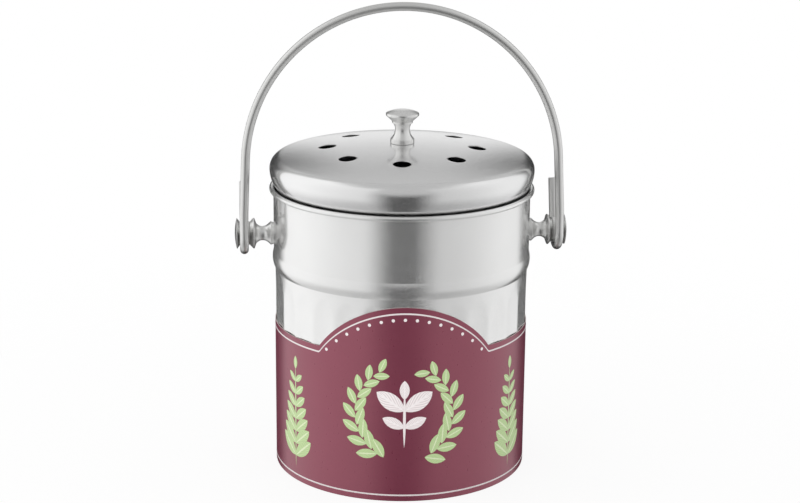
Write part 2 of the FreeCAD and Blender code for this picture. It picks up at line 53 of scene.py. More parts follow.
MM = 0.001
WELD = 1e-6
TINY = 1e-5
CREASE = math.radians(35)
RUN_SPLIT = np.array([0.0, 0.05, 0.5, 0.95, 1.0])
RING_COLUMNS = 160

Colour = tuple[float, float, float]
Socket = bpy.types.NodeSocket


class Body(Enum):
    """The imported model's bodies that pieces of this scene ride on."""

    PAIL = "pail"
    BAIL = "bail"
    LID = "lid"
    FILTER = "filter_set"


class Slot(Enum):
    """Material slots."""

    PAIL = "pail_steel"
    LID = "lid_steel"
    HANDLE = "handle_steel"
    KNOB = "knob_steel"
    FASTENER = "fastener_steel"
    SILICONE = "black_silicone"
    FOAM = "carbon_foam"
    CARD = "sleeve_card"


class Axis(Enum):
    """Turns, as Euler degrees, that lay a finish's own Z axis along an axis of the bin."""

    UPRIGHT = (0.0, 0.0, 0.0)
    PIVOT = (0.0, 90.0, 0.0)


# Surfaces


@dataclass
class Surface:
    """Points in millimetres, four-sided faces, and a pair of texture coordinates per point."""

    points: np.ndarray
    faces: np.ndarray
    uv: np.ndarray | None = None

    def moved(self, matrix: Matrix) -> "Surface":
        """The same surface, turned and shifted by a 4 x 4 matrix in millimetres."""
        turn = np.array(matrix)
        return Surface(self.points @ turn[:3, :3].T + turn[:3, 3], self.faces, self.uv)


def joined(surfaces: Sequence[Surface]) -> Surface:
    """Lay several surfaces into one, with their points kept apart.

    Args:
        surfaces: The surfaces to lay together.

    Returns:
        One surface, with the faces in the same order.
    """
    starts = np.cumsum([0] + [len(surface.points) for surface in surfaces[:-1]])
    faces = np.concatenate([surface.faces + start for surface, start in zip(surfaces, starts)])
    has_uv = all(surface.uv is not None for surface in surfaces)
    uv = np.concatenate([surface.uv for surface in surfaces]) if has_uv else None
    return Surface(np.concatenate([surface.points for surface in surfaces]), faces, uv)


def grid_faces(rows: int, columns: int, wrap_rows: bool = False, wrap_columns: bool = False) -> np.ndarray:
    """Faces of a grid whose point (i, j) is number i * columns + j.

    Args:
        rows: Number of points i.
        columns: Number of points j.
        wrap_rows: Whether the last row joins the first.
        wrap_columns: Whether the last column joins the first.

    Returns:
        One row of four point numbers per face, facing along d/dj x d/di.
    """
    i = np.arange(rows if wrap_rows else rows - 1)
    j = np.arange(columns if wrap_columns else columns - 1)
    low, left = (part.ravel() for part in np.meshgrid(i, j, indexing="ij"))
    high = (low + 1) % rows
    right = (left + 1) % columns
    corners = [low * columns + left, low * columns + right, high * columns + right, high * columns + left]
    return np.stack(corners, axis=1)


def rounded(
    corners: Sequence[Sequence[float]], turn_step: float = 7.0, spacing: float = 2.5
) -> tuple[np.ndarray, np.ndarray]:
    """Path through corners in two or three dimensions, each rounded by an arc of its bend radius.

    At a corner C where unit run a turns by t into run b, with reach q = r tan(t / 2) and n the unit
    normal of a towards b, the arc is C - q a + r (a sin p + n (1 - cos p)) for p from 0 to t.
    Arcs that are too long for a run shrink to fit it.

    Args:
        corners: Coordinates of each corner, followed by its bend radius.
        turn_step: Largest turn between two points of an arc, in degrees.
        spacing: Largest distance between two points of an arc.

    Returns:
        The points, and the unit direction of the path at each.
    """
    data = np.array(corners, float)
    points, bends = data[:, :-1], data[:, -1]
    runs = np.diff(points, axis=0)
    lengths = np.linalg.norm(runs, axis=1)
    ways = runs / lengths[:, None]
    turns = np.arccos(np.clip(np.sum(ways[:-1] * ways[1:], axis=1), -1, 1))
    reaches = np.zeros(len(points))
    reaches[1:-1] = bends[1:-1] * np.tan(turns / 2)
    shares = np.minimum(1, lengths / np.maximum(reaches[:-1] + reaches[1:], TINY))
    reaches[1:-1] *= np.minimum(shares[:-1], shares[1:])
    places, directions = [], []
    for index, (way, length) in enumerate(zip(ways, lengths)):
        start = reaches[index]
        along = start + (length - reaches[index + 1] - start) * RUN_SPLIT
        places.append(points[index] + along[:, None] * way)
        directions.append(np.tile(way, (len(along), 1)))
        reach = reaches[index + 1]
        if reach < TINY:
            continue
        turn = turns[index]
        radius = reach / math.tan(turn / 2)
        normal = (ways[index + 1] - way * math.cos(turn)) / math.sin(turn)
        count = math.ceil(max(turn / math.radians(turn_step), turn * radius / spacing))
        sweep = np.linspace(0, turn, count + 1)[1:-1, None]
        arc = np.sin(sweep) * way + (1 - np.cos(sweep)) * normal
        places.append(points[index + 1] - reach * way + radius * arc)
        directions.append(np.cos(sweep) * way + np.sin(sweep) * normal)
    path, heading = np.concatenate(places), np.concatenate(directions)
    steps = np.linalg.norm(np.diff(path, axis=0), axis=1)
    kept = np.concatenate([[True], steps > TINY])
    return path[kept], heading[kept]


def sheet_loop(corners: Sequence[Sequence[float]], thickness: float) -> tuple[np.ndarray, np.ndarray]:
    """Section of bent sheet metal as a closed loop of (radius, height) points.

    Args:
        corners: Corners of one face, with the metal to the right of the way along it.
        thickness: Thickness of the sheet.

    Returns:
        The loop, and for each of its points whether it is on the far face.
    """
    near, heading = rounded(corners)
    right = np.stack([heading[:, 1], -heading[:, 0]], axis=1)
    loop = np.concatenate([near + thickness * right, near[::-1]])
    return loop, np.arange(len(loop)) < len(near)


def spun(radii: np.ndarray, heights: np.ndarray, angles: np.ndarray, closed: bool = False) -> Surface:
    """Surface round the axis: P(i, j) = (r sin a, -r cos a, z), with r and z per row or per point.

    Args:
        radii: Distance from the axis, as one column or a full grid.
        heights: Height, as one column or a full grid.
        angles: Azimuth of each column, in radians, all the way round.
        closed: Whether the last row joins the first.

    Returns:
        The surface, facing outwards where the rows go up its outer side.
    """
    radius, height, angle = np.broadcast_arrays(radii, heights, angles[None, :])
    points = np.stack([radius * np.sin(angle), -radius * np.cos(angle), height], axis=-1)
    rows, columns = radius.shape
    return Surface(points.reshape(-1, 3), grid_faces(rows, columns, closed, True))


def all_round(columns: int, start: float = 0.0) -> np.ndarray:
    """Azimuths of that many columns all the way round, in radians, from a start in degrees."""
    return math.radians(start) + 2 * math.pi * np.arange(columns) / columns


def lathe(corners: Sequence[Sequence[float]], columns: int = 96) -> Surface:
    """Piece turned about Z from (radius, height, bend) corners, up its outer side from pole to pole."""
    path, _ = rounded(corners, spacing=1.0)
    return spun(path[:, :1], path[:, 1:], all_round(columns))


def rod(stations: np.ndarray, heading: np.ndarray, radii: np.ndarray, columns: int) -> Surface:
    """Round rod: P(i, j) = S_i + r_i (U_i cos a_j + V_i sin a_j), with U_i carried along without twist.

    Args:
        stations: Points of the rod's middle line.
        heading: Unit direction of the line at each station.
        radii: Radius at each station.
        columns: Points round the rod.

    Returns:
        The surface, facing outwards.
    """

    def carried(side: np.ndarray, way: np.ndarray) -> np.ndarray:
        """The last side vector, made square to the new direction."""
        square = side - way * (side @ way)
        return square / np.linalg.norm(square)

    first = np.cross(heading[0], [1.0, 0.0, 0.0])
    sides = np.array(list(accumulate(heading, carried, initial=first))[1:])
    across = np.cross(heading, sides)
    angles = all_round(columns)[None, :, None]
    circle = sides[:, None] * np.cos(angles) + across[:, None] * np.sin(angles)
    points = stations[:, None] + radii[:, None, None] * circle
    return Surface(points.reshape(-1, 3), grid_faces(len(stations), columns, False, True))


def on_pivot(height: float, right: bool) -> Matrix:
    """Matrix that lays a piece turned about Z on the pivot axis, pointing out to one side of the pail."""
    side = Matrix.Rotation(math.radians(90 if right else -90), 4, "Y")
    return Matrix.Translation((0, 0, height)) @ side


# Finishes


class Board:
    """Adds nodes to a node tree and links them."""

    def __init__(self, tree: bpy.types.NodeTree) -> None:
        """Start on an empty tree."""
        tree.nodes.clear()
        self.tree = tree

    def add(self, kind: str, inputs: dict | None = None, **settings: object) -> bpy.types.Node:
        """Add one node.

        Args:
            kind: Node type, without its ShaderNode prefix.
            inputs: Values or sockets by the input's name or number.
            **settings: Properties of the node.

        Returns:
            The node.
        """
        node = self.tree.nodes.new("ShaderNode" + kind)
        for key, value in settings.items():
            setattr(node, key, value)
        for key, value in (inputs or {}).items():
            if isinstance(value, Socket):
                self.tree.links.new(value, node.inputs[key])
            else:
                node.inputs[key].default_value = value
        return node

    def math(self, operation: str, *values: float | Socket) -> Socket:
        """Output of one Math node."""
        return self.add("Math", dict(enumerate(values)), operation=operation).outputs[0]

    def ramp(self, value: Socket, low: float, high: float, to_low: float, to_high: float) -> Socket:
        """A value carried smoothly from one range to another, and held at its ends."""
        inputs = {"Value": value, "From Min": low, "From Max": high, "To Min": to_low, "To Max": to_high}
        return self.add("MapRange", inputs, interpolation_type="SMOOTHSTEP").outputs["Result"]

    def mix(self, factor: Socket, first: Colour | Socket, second: Colour | Socket) -> Socket:
        """Colour between two others.

        Args:
            factor: Share of the second colour.
            first: Colour at share 0.
            second: Colour at share 1.

        Returns:
            The mixed colour.
        """
        ends = [end if isinstance(end, Socket) else (*end, 1.0) for end in (first, second)]
        node = self.add("Mix", {0: factor, 6: ends[0], 7: ends[1]}, data_type="RGBA")
        return node.outputs[2]

    def noise(self, vector: Socket, scale: float, detail: float = 2.0) -> Socket:
        """Noise from 0 to 1 at a place."""
        return self.add("TexNoise", {"Vector": vector, "Scale": scale, "Detail": detail}).outputs[0]

    def bump(self, height: Socket, distance: float, strength: float = 1.0) -> Socket:
        """Normal of a surface with small relief."""
        inputs = {"Height": height, "Distance": distance, "Strength": strength}
        return self.add("Bump", inputs).outputs["Normal"]


@dataclass(frozen=True)
class Finish:
    """A named procedural material."""

    name: str
    tone: Colour
    roughness: float

    def material(self) -> bpy.types.Material:
        """The material, made when first asked for.

        Returns:
            The material of this name.
        """
        made = bpy.data.materials.get(self.name)
        if made is None:
            made = bpy.data.materials.new(self.name)
            made.use_nodes = True
            board = Board(made.node_tree)
            output = board.add("OutputMaterial")
            shader = board.add("BsdfPrincipled", {"Base Color": (*self.tone, 1), "Roughness": self.roughness})
            made.node_tree.links.new(shader.outputs[0], output.inputs[0])
            self.dress(board, shader, board.add("TexCoord"))
        return made

    def dress(self, board: Board, shader: bpy.types.Node, place: bpy.types.Node) -> None:
        """Give the shader its pattern and relief.

        Args:
            board: Board of the material.
            shader: Its principled shader.
            place: Its texture coordinates.
        """
        raise NotImplementedError

    def shades(self, spread: float) -> tuple[Colour, Colour]:
        """The tone a little darker and a little lighter."""
        darker, lighter = (tuple(part * share for part in self.tone) for share in (1 - spread, 1 + spread))
        return darker, lighter


@dataclass(frozen=True)
class Steel(Finish):
    """Stainless steel with fine lines round the axis that it was spun, turned or brushed about."""

    axis: Axis = Axis.UPRIGHT
    lines: float = 6000.0
    drift: float = 40.0
    relief: float = 0.15e-6
    spread: float = 0.02
    specks: float = 16000.0
    speck_band: tuple[float, float] = (0.56, 0.63)
    speck_roughness: float = 0.4

    def dress(self, board: Board, shader: bpy.types.Node, place: bpy.types.Node) -> None:
        """Lines that change fast along the axis and slowly round it, and tiny frosted specks for a haze.

        Args:
            board: Board of the material.
            shader: Its principled shader.
            place: Its texture coordinates.
        """
        turn = tuple(math.radians(-part) for part in self.axis.value)
        laid = board.add("Mapping", {"Vector": place.outputs["Object"], "Rotation": turn}).outputs[0]
        part = board.add("SeparateXYZ", {0: laid})
        squares = [board.math("MULTIPLY", part.outputs[index], part.outputs[index]) for index in range(2)]
        reach = board.math("SQRT", board.math("ADD", *squares))
        level = board.math("MULTIPLY", board.math("SUBTRACT", part.outputs[2], reach), self.lines)
        slow = [board.math("MULTIPLY", part.outputs[index], self.drift) for index in range(2)]
        grain = board.noise(board.add("CombineXYZ", {0: slow[0], 1: slow[1], 2: level}).outputs[0], 1.0, 3.0)
        cloud = board.noise(laid, self.drift)
        links = board.tree.links
        links.new(board.mix(cloud, *self.shades(self.spread)), shader.inputs["Base Color"])
        speck = board.noise(laid, self.specks, 0.0)
        rough = board.ramp(speck, *self.speck_band, self.roughness, self.speck_roughness)
        links.new(rough, shader.inputs["Roughness"])
        links.new(board.bump(grain, self.relief), shader.inputs["Normal"])
        shader.inputs["Metallic"].default_value = 1.0


@dataclass(frozen=True)
class Silicone(Finish):
    """Matt moulded rubber with a faint skin."""

    clouds: float = 90.0
    spread: float = 0.25
    skin: float = 2500.0
    relief: float = 2e-5
    strength: float = 0.4

    def dress(self, board: Board, shader: bpy.types.Node, place: bpy.types.Node) -> None:
        """Faint clouds and a fine skin.

        Args:
            board: Board of the material.
            shader: Its principled shader.
            place: Its texture coordinates.
        """
        spot = place.outputs["Object"]
        links = board.tree.links
        cloud = board.noise(spot, self.clouds)
        links.new(board.mix(cloud, *self.shades(self.spread)), shader.inputs["Base Color"])
        skin = board.noise(spot, self.skin)
        links.new(board.bump(skin, self.relief, self.strength), shader.inputs["Normal"])


@dataclass(frozen=True)
class Foam(Finish):
    """Open-cell foam loaded with carbon."""

    cell: float = 620.0
    pore: tuple[float, float] = (0.15, 0.6)
    # Share of the tone left inside the pores, as painted shade in the hollows.
    pore_painted_shade: float = 0.2
    relief: float = 6e-4

    def dress(self, board: Board, shader: bpy.types.Node, place: bpy.types.Node) -> None:
        """Round pores with painted shade inside them, and paler struts between them.

        Args:
            board: Board of the material.
            shader: Its principled shader.
            place: Its texture coordinates.
        """
        inputs = {"Vector": place.outputs["Object"], "Scale": self.cell}
        pores = board.add("TexVoronoi", inputs, feature="F1").outputs["Distance"]
        depth = board.ramp(pores, *self.pore, 0.0, 1.0)
        # The insides of the pores are darkened here as painted shade, not as a colour of the foam.
        dark = tuple(part * self.pore_painted_shade for part in self.tone)
        links = board.tree.links
        links.new(board.mix(depth, dark, self.tone), shader.inputs["Base Color"])
        links.new(board.bump(depth, self.relief), shader.inputs["Normal"])


@dataclass(frozen=True)
class Card(Finish):
    """Printed card: one solid ink on fine fibres, under a thin satin varnish."""

    fibre: float = 1800.0
    fibre_stretch: float = 0.25
    fibre_band: tuple[float, float] = (0.2, 0.8)
    fibre_share: float = 0.4
    clouds: float = 60.0
    spread: float = 0.1
    relief: float = 2e-6
    varnish: float = 1.75
    sheen: Colour = (1.0, 0.5, 0.55)

    def dress(self, board: Board, shader: bpy.types.Node, place: bpy.types.Node) -> None:
        """Soft clouds in the ink, and fibres that run with the grain of the card.

        Args:
            board: Board of the material.
            shader: Its principled shader.
            place: Its texture coordinates.
        """
        spot = place.outputs["Object"]
        stretch = (1.0, 1.0, self.fibre_stretch)
        long_way = board.add("Mapping", {"Vector": spot, "Scale": stretch}).outputs[0]
        fibres = board.noise(long_way, self.fibre, 3.0)
        cloud = board.math("MULTIPLY", board.noise(spot, self.clouds), 1 - self.fibre_share)
        shade = board.math("ADD", cloud, board.math("MULTIPLY", fibres, self.fibre_share))
        ends = (self.roughness * (1 - self.spread), self.roughness * (1 + self.spread))
        links = board.tree.links
        links.new(board.mix(shade, *self.shades(self.spread)), shader.inputs["Base Color"])
        links.new(board.ramp(fibres, *self.fibre_band, *ends), shader.inputs["Roughness"])
        links.new(board.bump(fibres, self.relief), shader.inputs["Normal"])
        shader.inputs["IOR"].default_value = self.varnish
        shader.inputs["Specular IOR Level"].default_value = 1.0
        shader.inputs["Specular Tint"].default_value = (*self.sheen, 1.0)


@dataclass(frozen=True)
class Ink(Finish):
    """Printed ink on one motif, with a paler rib along its middle."""

    rib: Colour = (0.8, 0.8, 0.7)
    rib_width: float = 0.09
    veins: float = 40.0
    vein_band: tuple[float, float] = (-0.4, 0.9)
    spread: float = 0.12
    skin: float = 1500.0
    relief: float = 5e-6

    def dress(self, board: Board, shader: bpy.types.Node, place: bpy.types.Node) -> None:
        """The rib follows the motif's length, and slant side veins shade the halves.

        Args:
            board: Board of the material.
            shader: Its principled shader.
            place: Its texture coordinates.
        """
        part = board.add("SeparateXYZ", {0: place.outputs["UV"]})
        off = board.math("ABSOLUTE", board.math("SUBTRACT", part.outputs[1], 0.5))
        slant = board.math("MULTIPLY", board.math("SUBTRACT", part.outputs[0], off), self.veins)
        vein = board.ramp(board.math("SINE", slant), *self.vein_band, 0.0, 1.0)
        half = board.mix(vein, *self.shades(self.spread))
        rib = board.ramp(off, self.rib_width / 2, self.rib_width, 1.0, 0.0)
        skin = board.noise(place.outputs["Object"], self.skin)
        links = board.tree.links
        links.new(board.mix(rib, half, self.rib), shader.inputs["Base Color"])
        links.new(board.bump(skin, self.relief), shader.inputs["Normal"])


PAIL_STEEL = Steel("pail_satin_steel", (0.88, 0.88, 0.875), 0.17, speck_roughness=0.75)
LID_STEEL = Steel("lid_satin_steel", (0.84, 0.84, 0.84), 0.15)
HANDLE_STEEL = Steel("handle_satin_steel", (0.76, 0.76, 0.75), 0.34, Axis.PIVOT, 4000.0, 120.0)
KNOB_STEEL = Steel("knob_turned_steel", (0.82, 0.82, 0.81), 0.26, speck_roughness=0.45)
LUG_STEEL = Steel("lug_turned_steel", (0.82, 0.82, 0.81), 0.28, Axis.PIVOT)
FASTENER_STEEL = Steel("fastener_bright_steel", (0.72, 0.73, 0.74), 0.24, Axis.UPRIGHT, 9000.0)
SILICONE = Silicone("black_silicone_rubber", (0.022, 0.022, 0.024), 0.5)
FOAM = Foam("carbon_foam_cells", (0.075, 0.076, 0.08), 0.95)
BURGUNDY = Card("burgundy_card", (0.176, 0.030, 0.060), 0.30)
RAW_CARD = Card("raw_card_edge", (0.62, 0.55, 0.53), 0.8, varnish=1.45, sheen=(1.0, 1.0, 1.0))
LEAF_INK = Ink("pale_green_ink", (0.50, 0.66, 0.32), 0.42, (0.70, 0.80, 0.52))
CREAM_INK = Ink("cream_ink", (0.87, 0.80, 0.80), 0.42, (0.92, 0.87, 0.87))


# Pieces


def add_piece(name: str, surface: Surface, *finishes: Finish) -> bpy.types.Object:
    """Make a mesh object from a surface, with coincident points welded and its hard edges kept.

    Args:
        name: Name of the object.
        surface: Its points and faces.
        *finishes: Its materials, the first on all faces.

    Returns:
        The object, at the origin, unturned.
    """
    mesh = bpy.data.meshes.new(name)
    mesh.from_pydata(surface.points * MM, [], surface.faces)
    if surface.uv is not None:
        corners = np.empty(len(mesh.loops), np.int32)
        mesh.loops.foreach_get("vertex_index", corners)
        layer = mesh.uv_layers.new(name="motif")
        layer.uv.foreach_set("vector", surface.uv[corners].astype(np.float32).ravel())
    work = bmesh.new()
    work.from_mesh(mesh)
    bmesh.ops.remove_doubles(work, verts=work.verts, dist=WELD)
    bmesh.ops.dissolve_degenerate(work, edges=work.edges, dist=WELD)
    work.to_mesh(mesh)
    work.free()
    mesh.shade_smooth()
    mesh.set_sharp_from_angle(angle=CREASE)
    for finish in finishes:
        mesh.materials.append(finish.material())
    piece = bpy.data.objects.new(name, mesh)
    bpy.context.scene.collection.objects.link(piece)
    return piece


def stand_for(piece: bpy.types.Object, node: str, body: Body) -> None:
    """Let a piece stand for a CAD node: it rides on the body, and the node is hidden.

    Args:
        piece: The Blender piece.
        node: Name of the CAD node.
        body: Body that the piece rides on.
    """
    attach(piece, body.value)
    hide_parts(node)
    log.info("piece %s stands for %s: %d faces", piece.name, node, len(piece.data.polygons))


def dress_node(node: str, finish: Finish) -> None:
    """Give a CAD node that stays in view its material.

    Args:
        node: Name of the CAD node.
        finish: Its finish.
    """
    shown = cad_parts[node]
    shown.data.materials.clear()
    shown.data.materials.append(finish.material())
    log.info("node %s shown in %s", node, finish.name)


@dataclass(frozen=True)
class Pail:
    """Steel wall with a bead, pressed flutes, a rolled rim and a foot hem, and the base inside it."""

    sheet: float = 0.5
    radius: float = 67.0
    height: float = 150.0
    curl: float = 1.3
    curl_tail: float = 0.5
    hem: float = 2.6
    foot_bend: float = 1.0
    bead_height: float = 111.3
    bead_width: float = 8.6
    bead_rise: float = 1.6
    bead_crown_bend: float = 10.0
    bead_foot_bend: float = 0.7
    step: float = 0.8
    flutes: int = 30
    flute_depth: float = 0.45
    flute_land: float = 0.7
    flute_foot: float = 8.0
    flute_top_gap: float = 3.7
    flute_azimuth: float = -5.2
    columns_per_flute: int = 10
    arch_rows: int = 8
    base_sheet: float = 0.6
    base_rise: float = 2.6
    base_bend: float = 1.4

    @property
    def ridge(self) -> float:
        """Outer radius between the flutes."""
        return self.radius - self.step

    @property
    def bead_low(self) -> float:
        """Height of the bead's lower foot."""
        return self.bead_height - self.bead_width / 2

    def flute_bar(self) -> tuple[float, float]:
        """Radius of the round-ended bar that presses a flute, and how far its round end reaches in.

        The bar of radius b touches the valley and cuts the ridge circle at half a flute's width, and
        its end leaves the wall sqrt(b^2 - (b - depth)^2) beyond its straight stretch.

        Returns:
            The bar's radius and the reach of its round end, in millimetres.
        """
        valley = self.ridge - self.flute_depth
        half = math.pi / self.flutes - self.flute_land / 2 / self.ridge
        chord = self.ridge**2 + valley**2 - 2 * self.ridge * valley * math.cos(half)
        bar = chord / (2 * (self.ridge * math.cos(half) - valley))
        return bar, math.sqrt(bar**2 - (bar - self.flute_depth) ** 2)

    def pressed(self, loop: np.ndarray, far: np.ndarray, angles: np.ndarray) -> np.ndarray:
        """Radii of the wall with its flutes.

        A bar of radius b stands at distance c from the axis. At d beyond its straight stretch and an
        angle p off its middle, the wall is at c cos p - sqrt(b^2 - d^2 - c^2 sin^2 p) or further in.

        Args:
            loop: (radius, height) points of the section.
            far: Which of them are on the outer face.
            angles: Azimuths of the columns, in radians.

        Returns:
            Radius for each point of the loop and each column.
        """
        bar, arch = self.flute_bar()
        centre = self.ridge - self.flute_depth + bar
        head = self.bead_low - self.flute_top_gap - arch
        foot = self.flute_foot + arch
        pitch = 2 * math.pi / self.flutes
        off = (angles - math.radians(self.flute_azimuth) + pitch / 2) % pitch - pitch / 2
        radius, height = loop[:, :1], loop[:, 1:]
        beyond = np.maximum(0, np.maximum(height - head, foot - height))
        grown = bar + np.where(far[:, None], 0.0, self.sheet)
        square = grown**2 - beyond**2 - (centre * np.sin(off)) ** 2
        cut = centre * np.cos(off) - np.sqrt(np.maximum(square, 0))
        in_band = (height > self.flute_foot) & (height < self.bead_low - self.flute_top_gap) & (square > 0)
        return np.where(in_band, np.minimum(radius, cut), radius)

    def wall(self) -> Surface:
        """Closed section of the wall carried all the way round, with its flutes pressed in.

        Returns:
            The wall's surface.
        """
        _, arch = self.flute_bar()
        inner = self.ridge - self.sheet
        mouth = self.radius - self.sheet
        crown = self.bead_low - self.flute_top_gap
        rise = np.linspace(0, arch, self.arch_rows)
        levels = np.concatenate([self.flute_foot + rise[::2], crown - rise[::-1]])
        rim = mouth + 2 * self.curl
        curl_low = self.height - 2 * self.curl
        corners = [(self.ridge - self.hem, self.sheet, 0), (inner, self.sheet, self.foot_bend)]
        corners += [(inner, level, 0) for level in levels]
        corners += [
            (inner, self.bead_low, self.bead_foot_bend),
            (mouth + self.bead_rise, self.bead_height, self.bead_crown_bend),
            (mouth, self.bead_height + self.bead_width / 2, self.bead_foot_bend),
            (mouth, self.height, self.curl),
            (rim, self.height, self.curl),
            (rim, curl_low, self.curl),
            (rim - self.curl - self.curl_tail, curl_low, 0),
        ]
        loop, far = sheet_loop(corners, self.sheet)
        angles = all_round(self.flutes * self.columns_per_flute, self.flute_azimuth)
        return spun(self.pressed(loop, far, angles), loop[:, 1:], angles, closed=True)

    def base(self) -> Surface:
        """Inverted pan whose skirt turns in to lie on the foot hem.

        Returns:
            The base's surface.
        """
        skirt = self.ridge - self.sheet
        top = self.sheet + self.base_rise
        corners = [
            (0, top, 0),
            (skirt, top, self.base_bend),
            (skirt, self.sheet, self.foot_bend),
            (self.ridge - self.hem, self.sheet, 0),
        ]
        loop, _ = sheet_loop(corners, self.base_sheet)
        return spun(loop[::-1, :1], loop[::-1, 1:], all_round(RING_COLUMNS), closed=True)

    def build(self) -> None:
        """Add the wall and the base."""
        wall = add_piece("wall_steel", self.wall(), PAIL_STEEL)
        stand_for(wall, "bin_wall", Body.PAIL)
        base = add_piece("base_steel", self.base(), PAIL_STEEL)
        stand_for(base, "bin_base", Body.PAIL)


@dataclass(frozen=True)
class Motifs:
    """Flat printed shapes on the unrolled sleeve, each from its foot along its own direction.

    Columns of the arrays: distance round the sleeve, height, direction in degrees, length, half width.
    """

    places: np.ndarray
    point: float = 0.85
    film: float = 0.04
    lift: float = 0.012
    rows: int = 13
    columns: int = 7

    def surface(self, radius: float, azimuth: float) -> Surface:
        """Thin lens-shaped films on the sleeve.

        With t along a motif and v across it, its half width is w (4 t (1 - t))^point, and the film
        stands f (1 - v^2) 4 t (1 - t) proud of the card.

        Args:
            radius: Outer radius of the sleeve.
            azimuth: Azimuth of the sleeve's middle.

        Returns:
            All motifs, with (t, v) as texture coordinates.
        """
        around, height, direction, length, half = (column[:, None, None] for column in self.places.T)
        t = np.linspace(0, 1, self.rows)[None, :, None]
        v = np.linspace(-1, 1, self.columns)[None, None, :]
        swell = 4 * t * (1 - t)
        along, across = length * t + 0 * v, half * v * swell**self.point
        turn = np.radians(direction)
        s = around + along * np.cos(turn) - across * np.sin(turn)
        z = height + along * np.sin(turn) + across * np.cos(turn)
        angle = math.radians(azimuth) + s / radius
        proud = self.lift + self.film * (1 - v**2) * swell + 0 * s
        faces = grid_faces(self.rows, self.columns)
        cell = self.rows * self.columns
        uv = np.stack(np.broadcast_arrays(t + 0 * s, v / 2 + 0.5 + 0 * s), axis=-1).reshape(-1, 2)
        starts = cell * np.arange(len(self.places))[:, None, None]
        layers = []
        for lifted, wound in ((proud, faces[:, ::-1]), (self.lift + 0 * s, faces)):
            r = radius + lifted
            points = np.stack([r * np.sin(angle), -r * np.cos(angle), z], axis=-1).reshape(-1, 3)
            layers.append(Surface(points, (wound[None] + starts).reshape(-1, 4), uv))
        return joined(layers)


